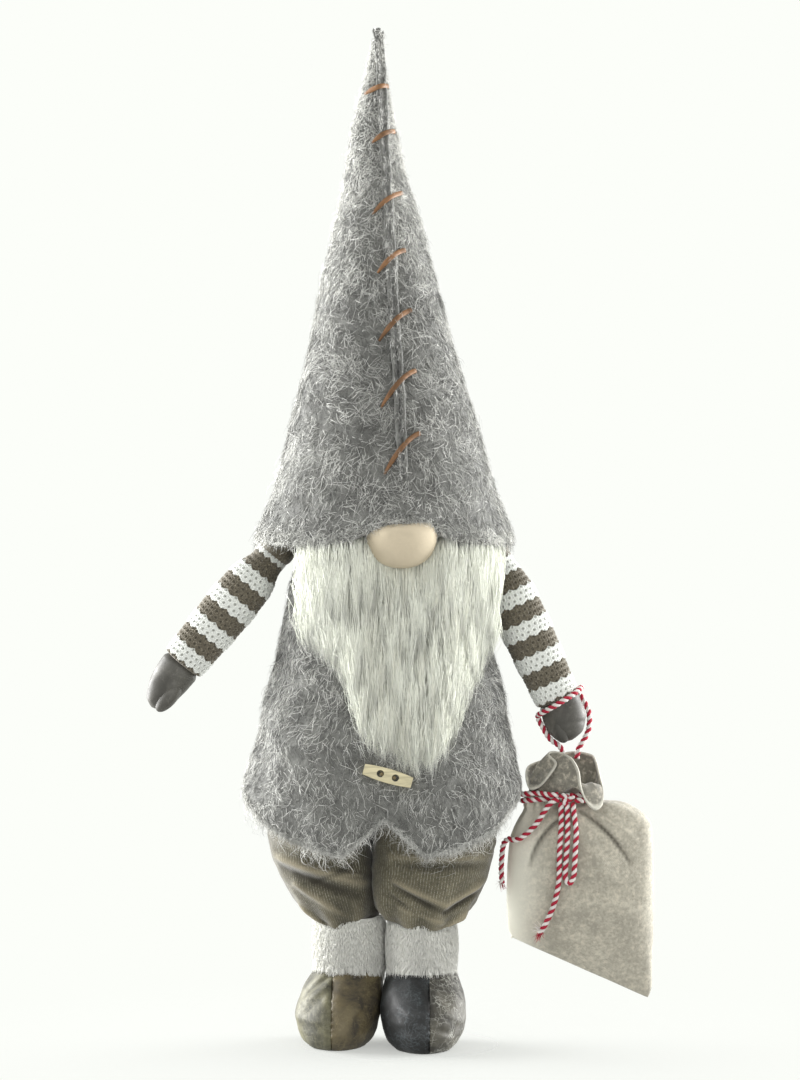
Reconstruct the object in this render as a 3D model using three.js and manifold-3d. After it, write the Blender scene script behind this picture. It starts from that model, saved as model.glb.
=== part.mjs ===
// A stuffed christmas gnome that stands on its boots and carries a linen sack on twine.
// Millimetres, +Z up, the gnome looks along -Y, and the origin is under the middle of the whole figure.
import * as THREE from "three";
import { mergeVertices } from "three/addons/utils/BufferGeometryUtils.js";
import Module from "manifold-3d";

const wasm = await Module();
wasm.setup();

// Colours
const FELT_GREY = 0x8b9088;
const FUR_IVORY = 0xd3d8ca;
const SKIN = 0xc9b9a0;
const KNIT = 0x9d9c90;
const SUEDE = 0x6b6c65;
const TROUSER_CLOTH = 0x6f6d62;
const BOOT_TAN = 0x97947f;
const BOOT_BROWN = 0x605c4d;
const BOOT_SLATE = 0x4b4d49;
const BOOT_GREY = 0x7a7a70;
const LINEN = 0xaaa897;
const LACE_TAN = 0xb4783c;
const PALE_WOOD = 0xd6d3b0;
const TWINE_RED = 0xaa3a48;
const STUFFING = 0xf0efe8;
const STEEL = 0xa8a8a8;
const RUBBER = 0x3a3a38;
const PELLETS = 0xcfcfcf;

// Clearances
const GAP = 0.3; // between two pieces that touch
const CORD_GAP = 0.5; // between a cord and what it lies on
const MERGE = 1e-4; // vertices closer than this are one

// Heights of the figure, from the floor up
const SOLE_THICKNESS = 4;
const BOOT_HEIGHT = 50;
const CUFF_HEIGHT = 37;
const TROUSER_HEIGHT = 73;
const TORSO_HEIGHT = 183;
const BRIM_DROP = 4.5; // how far the hat's brim hangs below the neck
const HAT_HEIGHT = 351.5;
const HIP_Z = BOOT_HEIGHT + CUFF_HEIGHT + TROUSER_HEIGHT;
const NECK_Z = HIP_Z + TORSO_HEIGHT;
const BRIM_Z = NECK_Z - BRIM_DROP;

// The gnome's own middle stands beside the origin, because the sack hangs on one side
const BODY_X = -11;
const BODY_Y = 5;

// Hat
const HAT_WIDTH = 178;
const HAT_DEPTH = 158;
const FELT = 3; // wall of the hat and of the coat
const BRIM_LIFT = 15; // the brim rises over the nose
const BRIM_LIFT_SPREAD = 30;
const BRIM_LIFT_X = 1;
// Each row: share of the hat's height, share of its width, sideways lean of its middle
const HAT_OUTLINE = [
  [0, 1, 0],
  [0.03, 0.965, 0.4],
  [0.087, 0.86, 1],
  [0.164, 0.776, 0.6],
  [0.242, 0.702, -0.5],
  [0.32, 0.612, -1.2],
  [0.397, 0.528, -2.3],
  [0.475, 0.46, -3],
  [0.552, 0.382, -4.2],
  [0.63, 0.309, -4.6],
  [0.707, 0.23, -5.8],
  [0.785, 0.18, -6.4],
  [0.862, 0.107, -6],
  [0.94, 0.05, -4.6],
  [1, 0.024, -3.6],
];
const HAT_SIDES = 24;

// Raised seam down the hat's front, two edges with a groove between them
const SEAM_WIDTH = 8;
const SEAM_PROUD = 4.5;
const SEAM_GROOVE = 3;
const SEAM_LOW_Z = 368;
const SEAM_LOW_X = 3.3;

// Lace stitches over the seam: height, width across and rise of each, from the top one down
const LACE_RADIUS = 1.5;
const LACE_STITCHES = [
  { name: "lace_stitch_1", z: 649, left: 12, right: 5, rise: 6 },
  { name: "lace_stitch_2", z: 616, left: 8.5, right: 7.5, rise: 9 },
  { name: "lace_stitch_3", z: 571, left: 11, right: 10.5, rise: 16 },
  { name: "lace_stitch_4", z: 531, left: 9.5, right: 10, rise: 16.5 },
  { name: "lace_stitch_5", z: 488, left: 11, right: 12, rise: 22 },
  { name: "lace_stitch_6", z: 446, left: 12, right: 12.5, rise: 26 },
  { name: "lace_stitch_7", z: 403, left: 13, right: 13, rise: 30 },
];

// Coat
const COAT_WIDTH = 188;
const COAT_DEPTH_SHARE_HEM = 0.68; // depth over width at the hem
const COAT_DEPTH_SHARE_NECK = 0.8;
const COAT_LENGTH = 165.5; // neck to the hem's side corners
const HEM_DROP = 48; // the front and back hang this much below the side corners
const NOTCH_HEIGHT = 27;
const NOTCH_HALF_WIDTH = 30;
const NOTCH_X = -10.5;
const CORNER_Z = NECK_Z - COAT_LENGTH;
// Each row: share of the coat's length below the neck, share of its width
const COAT_OUTLINE = [
  [0, 0.5],
  [0.048, 0.57],
  [0.109, 0.62],
  [0.169, 0.655],
  [0.254, 0.685],
  [0.417, 0.75],
  [0.665, 0.86],
  [0.828, 0.915],
  [1, 1],
];
const COAT_SIDES = 32;
const COAT_SHARES = [0, 0.06, 0.14, 0.24, 0.38, 0.54, 0.7, 0.85, 1]; // rings from neck to hem

// Torso and head
const HIP_ROUNDING = 20; // height over which the torso's bottom rounds in
const HIP_SHARE = 0.8;
const HEAD_HEIGHT = 107;
const HEAD_NECK_SHARE = 0.58;
const HEAD_FLARE = 28; // height over which the head widens out to the hat
const FILLING_HEIGHT = 185;
const STUFFING_SLACK = 1.9; // stuffing lies this much inside the cloth where the cloth bends

// Nose
const NOSE_WIDTH = 47;
const NOSE_HEIGHT = 42;
const NOSE_DEPTH = 38;
const NOSE_X = 1;
const NOSE_Z = 344;
const NOSE_SINK = 10; // the nose's middle lies this far behind the brim's front

// Beard: how far it stands off the coat in front and at its sides, and its outline seen from the front
const BEARD_THICKNESS = 16;
const BEARD_EDGE = 1.6;
const BEARD_CUT_ROOM = 10;
const BEARD_X = -5.5;
const BEARD_TOP_BELOW_NECK = 4;
const BEARD_OUTLINE = [
  [-56, 0],
  [-58, -22],
  [-57, -42],
  [-46, -62],
  [-33, -78],
  [-27, -100],
  [-20, -126],
  [-8, -140],
  [14, -148],
  [28, -148],
  [42, -134],
  [50, -112],
  [62, -78],
  [69, -50],
  [71, -28],
  [70, 0],
];

// Toggle button and its thread
const TOGGLE_LENGTH = 33;
const TOGGLE_WIDTH = 9.5;
const TOGGLE_END_WIDTH = 6.8;
const TOGGLE_THICKNESS = 4.5;
const TOGGLE_HOLE_RADIUS = 2.4;
const TOGGLE_HOLE_SPACING = 10.4;
const TOGGLE_X = -8;
const TOGGLE_Z = 186;
const TOGGLE_TILT = 16;
const TOGGLE_STANDOFF = 0.2; // the toggle lies this far off the coat's nominal front
const THREAD_RADIUS = 1.2;
const THREAD_BITE = 2.2; // how deep the thread goes into the coat

// Shoulders and arms
const SHOULDER_SPREAD = 72.5; // pivot from the gnome's middle
const SHOULDER_DROP = 7; // pivot below the neck
const ARM_BACK = 10; // the arms lie behind the middle plane
const BALL_RADIUS = 13;
const BALL_ROOM = 0.8; // between a shoulder ball and what turns on it
const ARMHOLE_RADIUS = 25;
const ARMHOLE_FINENESS = 16;
const HAT_ROOM = 4; // between a shoulder ball and the hat
const TAB_RADIUS = 6;
const TAB_DEPTH = 42; // from the pivot into the torso
const SLEEVE_WALL = 2.2;
const WIRE_RADIUS = 1.2;
const WIRE_START = 22;
const MITTEN_TUCK = 7; // the mitten's top lies inside the sleeve
const SHOULDER_Z = NECK_Z - SHOULDER_DROP;
// Each row: share of the sleeve's length, sleeve radius
const SLEEVE_OUTLINE = [
  [0, 12.5],
  [0.08, 14.5],
  [0.22, 16.6],
  [0.5, 17.2],
  [0.78, 16],
  [1, 14.6],
];
const SLEEVE_TOP = 10; // the sleeve begins this far from the pivot
const ARM_SIDES = 14;
const ARMS = {
  left: { side: -1, angle: 39.6, length: 102.3, mitten: 36, bulge: 0.98, point: 0.5 },
  right: { side: 1, angle: 24.2, length: 113.4, mitten: 28.7, bulge: 1.08, point: 0.72 },
};

// Room that an arm needs when it moves: fat rods from the pivot, each at a raise and a swing in degrees
const ARM_ROOM_CLEARANCE = 1.2;
const ARM_ROOM_REACH = 62;
const ARM_ROOM_TURNS = [
  [0, 0],
  [8, 0],
  [8, 40],
  [8, -15],
  [-6, 40],
];

// Legs, cuffs and boots
const ANKLE_RADIUS = 17;
const CUFF_RADIUS = 23.5;
const DOWEL_RADIUS = 4;
const DOWEL_TOP = 235;
const BOOT_WALL = 2.2;
const WEIGHT_TOP = 30;
const BOOT_SIDES = 20;
const LEG_SIDES = 20;
const LEGS = {
  left: {
    ankleX: -35.5,
    ankleY: 6,
    bootX: -42.7,
    seam: -3.5,
    hipX: -54,
    hipHalf: 36.5,
    outerColor: BOOT_TAN,
    innerColor: BOOT_BROWN,
  },
  right: {
    ankleX: 15,
    ankleY: -8,
    bootX: 15.6,
    seam: 4.4,
    hipX: 26.5,
    hipHalf: 40,
    outerColor: BOOT_GREY,
    innerColor: BOOT_SLATE,
  },
};
// Each row: share of the boot's height above the sole, half width, half length, share of the way to the ankle
const BOOT_OUTLINE = [
  [0, 26.5, 41, 0],
  [0.22, 28.6, 43, 0],
  [0.46, 28.4, 41, 0.1],
  [0.7, 26.6, 34, 0.5],
  [0.87, 24.6, 27.5, 0.85],
  [1, 22.5, 22.5, 1],
];
const BOOT_FORWARD = 8; // the boot's middle lies in front of the ankle
// Each row: share of the trouser leg's height, share of its hip width, share of the way from ankle to hip
const TROUSER_OUTLINE = [
  [0, 0.56, 0.12],
  [0.1, 0.74, 0.28],
  [0.28, 0.85, 0.62],
  [0.52, 0.95, 0.9],
  [0.76, 1, 1],
  [1, 0.98, 1],
];
const TROUSER_DEPTH_SHARE = 0.92;
// Each row: share of the cuff's height, outer radius share
const CUFF_OUTLINE = [
  [0, 0.94],
  [0.3, 1],
  [0.75, 0.99],
  [1, 0.92],
];

// Sack: each row holds the left and right end of a slice, seen from the front, and its half thickness
const SACK_Y = 12;
const SACK_LINEN = 1.6;
const SACK_SQUARE = 2.6; // how square a slice of the sack is
const SACK_BODY = [
  { left: [73.4, 72.8], right: [171.4, 29.9], half: 2.6 },
  { left: [73.1, 82.3], right: [172, 46.2], half: 11 },
  { left: [72.8, 100], right: [173.4, 76.8], half: 19 },
  { left: [73.4, 121], right: [173.4, 110.8], half: 22 },
  { left: [75.5, 139.4], right: [171.4, 146.2], half: 20 },
  { left: [81, 150.5], right: [156.4, 157.5], half: 14.5 },
  { left: [86.2, 158.5], right: [130.6, 161], half: 8.5 },
];
const SACK_FRILL = [
  { left: [86.2, 171.5], right: [130.6, 174], half: 8.5 },
  { left: [88.4, 177.5], right: [136, 179.5], half: 12 },
  { left: [89, 186.5], right: [136.7, 188], half: 15 },
  { left: [96, 195.5], right: [131.5, 196], half: 11 },
  { left: [104, 199.5], right: [126, 199.5], half: 7 },
];
const FRILL_EDGE = 1; // the frill's cloth at its top edge
const SACK_SIDES = 20;

// Twine
const TWINE_RADIUS = 1.85;
const WINDING_TURNS = 2;
const WINDING_PITCH = 4.4;
const WINDING_STEPS = 24;
const WINDING_SIDES = 6;
const CORD_SIDES = 8;
const WINDING_FREE = 3; // steps left open on each side of the knot
const KNOT_SIZE = [13, 7, 10];
const KNOT_X = 113;
const KNOT_ENDS = { low: -1.2, high: 2.6 }; // where the winding's ends meet the knot, from its middle
// Loop of the bow, which hangs from the knot and comes back up
const BOW_LOOP = [
  [117.4, -4.6, 164],
  [117.8, -6.5, 158],
  [118.6, -9.5, 151],
  [119.2, -11.6, 143],
  [118.6, -12.8, 133],
  [118, -13.6, 122],
  [117.2, -13.8, 114],
  [114.2, -13.8, 109.8],
  [111.8, -13.6, 114],
  [112, -13.6, 122],
  [112.8, -12.8, 133],
  [113.4, -11.6, 143],
  [113.6, -9.5, 151],
  [113.5, -6.5, 158],
  [113.3, -4.6, 164],
];
// Tail that hangs in front of the sack
const FRONT_TAIL = [
  [109.2, -4.6, 164],
  [109.2, -6.8, 158],
  [109.2, -9.6, 151],
  [108.7, -11.6, 143],
  [108, -12.8, 133],
  [107.6, -13.6, 122],
  [107.4, -13.4, 112],
  [105.6, -12, 101],
  [102.6, -10.4, 91],
  [98.6, -8.6, 82],
  [94.6, -6.6, 75],
];
// Tail that runs over the sack's shoulder and hangs beside it
const SIDE_TAIL = [
  [108, -5.4, 165.8],
  [103.4, -6.4, 164.6],
  [99, -6.8, 159.6],
  [94.5, -7, 152.5],
  [89.5, -7.4, 146.5],
  [84, -7.2, 141.5],
  [78.5, -5.6, 138.5],
  [74, -2.6, 139],
  [70.6, 0.8, 135.5],
  [69.4, 3, 127],
  [69, 4, 117],
  [69.6, 4.2, 108],
];
// Loop that the mitten carries: past the sleeve's end, across the arm, depth
const CARRY_LOOP = [
  [40, -12.5, 2],
  [30, -11.8, 1],
  [22.5, -15.6, 0],
  [14.8, -17, 0],
  [4.5, -17.2, -2],
  [2.6, -12.6, -12],
  [1, 0, -17.4],
  [-0.6, 12.8, -12.6],
  [-1.6, 18, 0],
  [0.6, 15, 10.8],
  [7.5, 16, 9.4],
  [17, 15.8, 6],
  [26, 11.6, 3],
  [31.4, 6, 2],
  [36, -0.6, 2],
  [42, -4.8, 2],
];
const CORD_STEPS = { bow_loop: 20, front_tail: 13, side_tail: 12, carry_loop: 34 };

// Tables: straight interpolation of one column at a share of the way
function column(table, share, index) {
  const at = Math.min(Math.max(share, table[0][0]), table[table.length - 1][0]);
  let row = 1;
  while (row < table.length - 1 && table[row][0] < at) {
    row += 1;
  }
  const [low, high] = [table[row - 1], table[row]];
  const way = (at - low[0]) / (high[0] - low[0]);
  return low[index] + way * (high[index] - low[index]);
}

// Solids
function solid(geometry) {
  const bare = geometry.index ? geometry.toNonIndexed() : geometry.clone();
  bare.deleteAttribute("normal");
  bare.deleteAttribute("uv");
  const merged = mergeVertices(bare, MERGE);
  return new wasm.Manifold(
    new wasm.Mesh({
      numProp: 3,
      vertProperties: merged.attributes.position.array,
      triVerts: new Uint32Array(merged.index.array),
    }),
  );
}

function geometryOf(body) {
  const { vertProperties, triVerts, numProp, numVert } = body.getMesh();
  const points = new Float32Array(numVert * 3);
  for (let i = 0; i < numVert; i += 1) {
    points.set(vertProperties.subarray(i * numProp, i * numProp + 3), i * 3);
  }
  const geometry = new THREE.BufferGeometry();
  geometry.setAttribute("position", new THREE.BufferAttribute(points, 3));
  geometry.setIndex(new THREE.BufferAttribute(new Uint32Array(triVerts), 1));
  geometry.computeVertexNormals();
  return geometry;
}

function movedTo(geometry, group) {
  group.updateWorldMatrix(true, false);
  return geometry.clone().applyMatrix4(group.matrixWorld);
}

// A skin through stacked rings of points, capped at both ends
function lofted(rings) {
  const sides = rings[0].length;
  const points = rings.flat();
  const faces = [];
  for (let k = 0; k < rings.length - 1; k += 1) {
    const low = k * sides;
    const high = low + sides;
    for (let i = 0; i < sides; i += 1) {
      const j = (i + 1) % sides;
      faces.push(low + i, low + j, high + j, low + i, high + j, high + i);
    }
  }
  [0, rings.length - 1].forEach((k) => {
    const middle = new THREE.Vector3();
    rings[k].forEach((point) => middle.addScaledVector(point, 1 / sides));
    const centre = points.push(middle) - 1;
    for (let i = 0; i < sides; i += 1) {
      const j = (i + 1) % sides;
      const [a, b] = k === 0 ? [j, i] : [i, j];
      faces.push(centre, k * sides + a, k * sides + b);
    }
  });
  const geometry = new THREE.BufferGeometry().setFromPoints(points);
  geometry.setIndex(faces);
  return geometry;
}

function ring(sides, at) {
  return Array.from({ length: sides }, (_, i) => at((i / sides) * 2 * Math.PI));
}

function oval(x, y, z, halfWidth, halfDepth, sides) {
  return ring(
    sides,
    (angle) => new THREE.Vector3(x + halfWidth * Math.cos(angle), y + halfDepth * Math.sin(angle), z),
  );
}

function ball(x, y, z, radius, widthSegments = 14, heightSegments = 10) {
  return new THREE.SphereGeometry(radius, widthSegments, heightSegments).translate(x, y, z);
}

function box(low, high) {
  const size = high.map((value, i) => value - low[i]);
  const middle = high.map((value, i) => (value + low[i]) / 2);
  return new THREE.BoxGeometry(...size).translate(...middle);
}

function circleShape(radius, sides) {
  const points = ring(
    sides,
    (angle) => new THREE.Vector3(radius * Math.cos(angle), radius * Math.sin(angle), 0),
  );
  return new THREE.Shape(points.map((point) => new THREE.Vector2(point.x, point.y)));
}

function tube(points, radius, sides, steps) {
  const curve = new THREE.CatmullRomCurve3(points.map((point) => new THREE.Vector3(...point)));
  return new THREE.ExtrudeGeometry(circleShape(radius, sides), {
    extrudePath: curve,
    steps,
    bevelEnabled: false,
  });
}

// Pieces gather here under their own names
const gnome = new THREE.Group();
gnome.name = "christmas_gnome";
const figure = new THREE.Group();
figure.position.set(0, BODY_Y, 0);
gnome.add(figure);

function piece(name, body, color, { roughness = 0.95, metalness = 0, parent = figure } = {}) {
  const material = new THREE.MeshStandardMaterial({ color, roughness, metalness });
  const mesh = new THREE.Mesh(geometryOf(body), material);
  mesh.name = name;
  parent.add(mesh);
  return mesh;
}

// Coat surface: half width and half depth at a height
function coatHalf(z) {
  return (COAT_WIDTH / 2) * column(COAT_OUTLINE, (NECK_Z - z) / COAT_LENGTH, 1);
}

function coatDepthHalf(z) {
  const share = Math.min(Math.max((NECK_Z - z) / COAT_LENGTH, 0), 1);
  return coatHalf(z) * THREE.MathUtils.lerp(COAT_DEPTH_SHARE_NECK, COAT_DEPTH_SHARE_HEM, share);
}

function hemZ(angle) {
  return CORNER_Z - HEM_DROP * Math.abs(Math.sin(angle));
}

function coatRing(share, inset) {
  return ring(COAT_SIDES, (angle) => {
    const z = THREE.MathUtils.lerp(NECK_Z, hemZ(angle), share);
    const x = BODY_X + (coatHalf(z) - inset) * Math.cos(angle);
    return new THREE.Vector3(x, (coatDepthHalf(z) - inset) * Math.sin(angle), z);
  });
}

// Hat surface: half width, half depth and middle at a height
function hatShare(z) {
  return (z - BRIM_Z) / HAT_HEIGHT;
}

function hatHalf(z) {
  return (HAT_WIDTH / 2) * column(HAT_OUTLINE, hatShare(z), 1);
}

function hatDepthHalf(z) {
  const share = Math.min(Math.max(hatShare(z), 0), 1);
  return hatHalf(z) * THREE.MathUtils.lerp(HAT_DEPTH / HAT_WIDTH, 1, share);
}

function hatX(z) {
  return BODY_X + column(HAT_OUTLINE, hatShare(z), 2);
}

function brimLift(x, y) {
  const off = (x - BRIM_LIFT_X) / BRIM_LIFT_SPREAD;
  return y < 0 ? BRIM_LIFT * Math.exp(-off * off) : 0;
}

function hatRing(share, inset) {
  const level = BRIM_Z + share * HAT_HEIGHT;
  return ring(HAT_SIDES, (angle) => {
    const side = hatX(level) + hatHalf(level) * Math.cos(angle);
    const lift = brimLift(side, Math.sin(angle)) * Math.max(0, 1 - share * 4);
    const z = level + lift;
    const x = hatX(z) + (hatHalf(z) - inset) * Math.cos(angle);
    return new THREE.Vector3(x, (hatDepthHalf(z) - inset) * Math.sin(angle), z);
  });
}

// Front of the hat at a place off its middle
function hatFrontY(x, z) {
  const off = Math.min(Math.abs(x - hatX(z)) / hatHalf(z), 0.99);
  return -hatDepthHalf(z) * Math.sqrt(1 - off * off);
}

function seamX(z) {
  const share = (z - SEAM_LOW_Z) / (BRIM_Z + HAT_HEIGHT - SEAM_LOW_Z);
  return THREE.MathUtils.lerp(SEAM_LOW_X, hatX(BRIM_Z + HAT_HEIGHT), share);
}

// Hat shell with its raised seam
function hatShell() {
  const shares = HAT_OUTLINE.map(([share]) => share);
  const inner = shares.filter((share) => hatHalf(BRIM_Z + share * HAT_HEIGHT) > 2 * FELT);
  const rings = [
    ...inner.reverse().map((share) => hatRing(share, FELT)),
    ...shares.map((share) => hatRing(share, 0)),
  ];
  return solid(lofted(rings));
}

function seamRidge() {
  const top = BRIM_Z + HAT_HEIGHT;
  const steps = 16;
  const rings = [];
  for (let k = 0; k <= steps; k += 1) {
    const z = THREE.MathUtils.lerp(SEAM_LOW_Z, top, k / steps);
    const x = seamX(z);
    const y = hatFrontY(x, z);
    const half = (SEAM_WIDTH / 2) * (k === steps ? 0.7 : 1);
    const proud = SEAM_PROUD * Math.min(1, 0.35 + k / 3);
    const root = y + Math.min(FELT, 0.6 * hatDepthHalf(z));
    const section = [
      [-half, -proud],
      [-half * 0.3, -proud],
      [0, -proud + SEAM_GROOVE * Math.min(1, 0.35 + k / 3)],
      [half * 0.3, -proud],
      [half, -proud],
    ].map(([dx, dy]) => new THREE.Vector3(x + dx, y + dy, z));
    rings.push([...section, new THREE.Vector3(x + half, root, z), new THREE.Vector3(x - half, root, z)]);
  }
  return solid(lofted(rings));
}

function laceRoute(stitch) {
  const { z, left, right, rise } = stitch;
  const middle = seamX(z);
  const off = LACE_RADIUS + GAP;
  const place = (way, lift) => {
    const x = middle + THREE.MathUtils.lerp(-left, right, way);
    const height = z + rise * (way - left / (left + right));
    return [x, hatFrontY(x, height) - lift, height];
  };
  const crown = left / (left + right);
  return [
    place(0, -FELT),
    place(0.04, off * 0.6),
    place(crown * 0.45, off + 1),
    place(crown, SEAM_PROUD + off + 0.2),
    place(crown + (1 - crown) * 0.55, off + 1),
    place(0.96, off * 0.6),
    place(1, -FELT),
  ];
}

function lace(stitch, radius) {
  return solid(tube(laceRoute(stitch), radius, 6, 10));
}

// Torso, head and the hat's filling
function torsoCore() {
  const low = HIP_Z + GAP;
  const top = NECK_Z - GAP;
  const heights = [low, low + HIP_ROUNDING * 0.35, low + HIP_ROUNDING];
  for (let k = 1; k <= 7; k += 1) {
    heights.push(THREE.MathUtils.lerp(low + HIP_ROUNDING, top, k / 7));
  }
  const rings = heights.map((z) => {
    const way = Math.min((z - low) / HIP_ROUNDING, 1);
    const share = THREE.MathUtils.lerp(HIP_SHARE, 1, Math.sqrt(way));
    const inset = FELT + GAP + STUFFING_SLACK;
    return oval(BODY_X, 0, z, (coatHalf(z) - inset) * share, (coatDepthHalf(z) - inset) * share, 24);
  });
  return solid(lofted(rings));
}

function headCore() {
  const low = NECK_Z + GAP;
  const heights = [0, 0.25, 0.6, 1].map((share) => low + share * HEAD_FLARE);
  for (let k = 1; k <= 5; k += 1) {
    heights.push(THREE.MathUtils.lerp(low + HEAD_FLARE, low + HEAD_HEIGHT, k / 5));
  }
  const rings = heights.map((z) => {
    const way = Math.min((z - low) / HEAD_FLARE, 1);
    const share = THREE.MathUtils.lerp(HEAD_NECK_SHARE, 1, way * way);
    const inset = FELT + GAP + STUFFING_SLACK;
    return oval(hatX(z), 0, z, (hatHalf(z) - inset) * share, (hatDepthHalf(z) - inset) * share, 24);
  });
  return solid(lofted(rings));
}

function hatFilling() {
  const low = NECK_Z + GAP + HEAD_HEIGHT + GAP;
  const rings = [];
  for (let k = 0; k <= 6; k += 1) {
    const z = low + (FILLING_HEIGHT * k) / 6;
    const inset = FELT + GAP + STUFFING_SLACK;
    rings.push(oval(hatX(z), 0, z, hatHalf(z) - inset, hatDepthHalf(z) - inset, 20));
  }
  return solid(lofted(rings));
}

// Face
const brimFrontY = -HAT_DEPTH / 2;
const noseY = brimFrontY + NOSE_SINK;

function noseBody(extra) {
  const half = [NOSE_WIDTH / 2 + extra, NOSE_DEPTH / 2 + extra, NOSE_HEIGHT / 2 + extra];
  const geometry = new THREE.SphereGeometry(1, 16, 12).rotateX(Math.PI / 2).scale(...half);
  return solid(geometry.translate(NOSE_X, noseY, NOSE_Z));
}

function beardBody() {
  const top = NECK_Z - BEARD_TOP_BELOW_NECK;
  const low = top + Math.min(...BEARD_OUTLINE.map(([, z]) => z)) - BEARD_CUT_ROOM;
  const shell = (edge, depth) => {
    const rings = [];
    for (let k = 0; k <= 9; k += 1) {
      const z = THREE.MathUtils.lerp(low, top, k / 9);
      rings.push(oval(BODY_X, 0, z, coatHalf(z) + edge, coatDepthHalf(z) + depth, 36));
    }
    return solid(lofted(rings));
  };
  const corners = BEARD_OUTLINE.map(([x, z]) => new THREE.Vector2(x + BEARD_X, z + top));
  const outline = new THREE.Shape(corners);
  const reach = HAT_DEPTH;
  const slab = new THREE.ExtrudeGeometry(outline, { depth: reach, bevelEnabled: false });
  slab.rotateX(Math.PI / 2);
  const front = solid(slab.translate(0, -ARM_BACK, 0));
  const coatFilled = solid(lofted(COAT_SHARES.map((share) => coatRing(share, -GAP)).reverse()));
  return shell(BEARD_EDGE, BEARD_THICKNESS).subtract(coatFilled).intersect(front);
}

// Toggle and thread, built flat and then laid against the coat's front
function toggleGroup() {
  const group = new THREE.Group();
  const y = -coatDepthHalf(TOGGLE_Z);
  const rise = 4;
  const lean = Math.atan2(coatDepthHalf(TOGGLE_Z - rise) - coatDepthHalf(TOGGLE_Z + rise), 2 * rise);
  group.position.set(TOGGLE_X, y, TOGGLE_Z);
  group.rotation.set(-lean, THREE.MathUtils.degToRad(TOGGLE_TILT), 0, "XYZ");
  figure.add(group);
  return group;
}

function toggleBody() {
  const half = TOGGLE_LENGTH / 2;
  const outline = new THREE.Shape();
  outline.moveTo(-half, -TOGGLE_END_WIDTH / 2);
  outline.quadraticCurveTo(0, -TOGGLE_WIDTH + TOGGLE_END_WIDTH / 2, half, -TOGGLE_END_WIDTH / 2);
  outline.lineTo(half, TOGGLE_END_WIDTH / 2);
  outline.quadraticCurveTo(0, TOGGLE_WIDTH - TOGGLE_END_WIDTH / 2, -half, TOGGLE_END_WIDTH / 2);
  outline.closePath();
  [-1, 1].forEach((side) => {
    const hole = new THREE.Path();
    hole.absarc((side * TOGGLE_HOLE_SPACING) / 2, 0, TOGGLE_HOLE_RADIUS, 0, 2 * Math.PI, true);
    outline.holes.push(hole);
  });
  const plate = new THREE.ExtrudeGeometry(outline, {
    depth: TOGGLE_THICKNESS,
    bevelEnabled: false,
    curveSegments: 8,
  });
  // The plate's thickness runs from the coat outwards, along -Y
  plate.rotateX(Math.PI / 2).translate(0, -TOGGLE_STANDOFF, 0);
  return solid(plate);
}

// The thread pulls against the bridge between the two holes
function threadBody(radius) {
  const reach = TOGGLE_HOLE_SPACING / 2 - TOGGLE_HOLE_RADIUS + THREAD_RADIUS + GAP;
  const face = -TOGGLE_STANDOFF - TOGGLE_THICKNESS * 0.5;
  const leg = (x) =>
    solid(
      new THREE.CylinderGeometry(radius, radius, THREAD_BITE - face, 8)
        .translate(x, (THREAD_BITE + face) / 2, 0),
    );
  const bar = solid(
    new THREE.CylinderGeometry(radius, radius, 2 * reach, 8)
      .rotateZ(Math.PI / 2)
      .translate(0, THREAD_BITE, 0),
  );
  return leg(-reach).add(leg(reach)).add(bar);
}

// Arms, built along -Z from a pivot at the origin and then turned out
function sleeveRadius(arm, distance) {
  return column(SLEEVE_OUTLINE, (distance - SLEEVE_TOP) / (arm.length - SLEEVE_TOP), 1);
}

function armRings(arm, from, to, inset, count) {
  const rings = [];
  for (let k = 0; k <= count; k += 1) {
    const distance = THREE.MathUtils.lerp(to, from, k / count);
    const radius = sleeveRadius(arm, distance) - inset;
    rings.push(oval(0, 0, -distance, radius, radius, ARM_SIDES));
  }
  return rings;
}

function sleeveBody(arm) {
  const outer = solid(lofted(armRings(arm, SLEEVE_TOP, arm.length, 0, 7)));
  const inner = solid(lofted(armRings(arm, SLEEVE_TOP - 1, arm.length + 1, SLEEVE_WALL, 7)));
  return outer.subtract(inner).subtract(solid(ball(0, 0, 0, BALL_RADIUS + BALL_ROOM)));
}

function armStuffing(arm, wire) {
  const inset = SLEEVE_WALL + GAP;
  const end = arm.length - MITTEN_TUCK - GAP;
  const core = solid(lofted(armRings(arm, SLEEVE_TOP, end, inset, 7)));
  return core.subtract(solid(ball(0, 0, 0, BALL_RADIUS + BALL_ROOM))).subtract(wire);
}

function wireBody(arm, extra) {
  const from = WIRE_START - extra;
  const to = arm.length + arm.mitten * 0.3 + extra;
  const rod = new THREE.CylinderGeometry(WIRE_RADIUS + extra, WIRE_RADIUS + extra, to - from, 10);
  return solid(rod.rotateX(Math.PI / 2).translate(0, 0, -(from + to) / 2));
}

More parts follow.
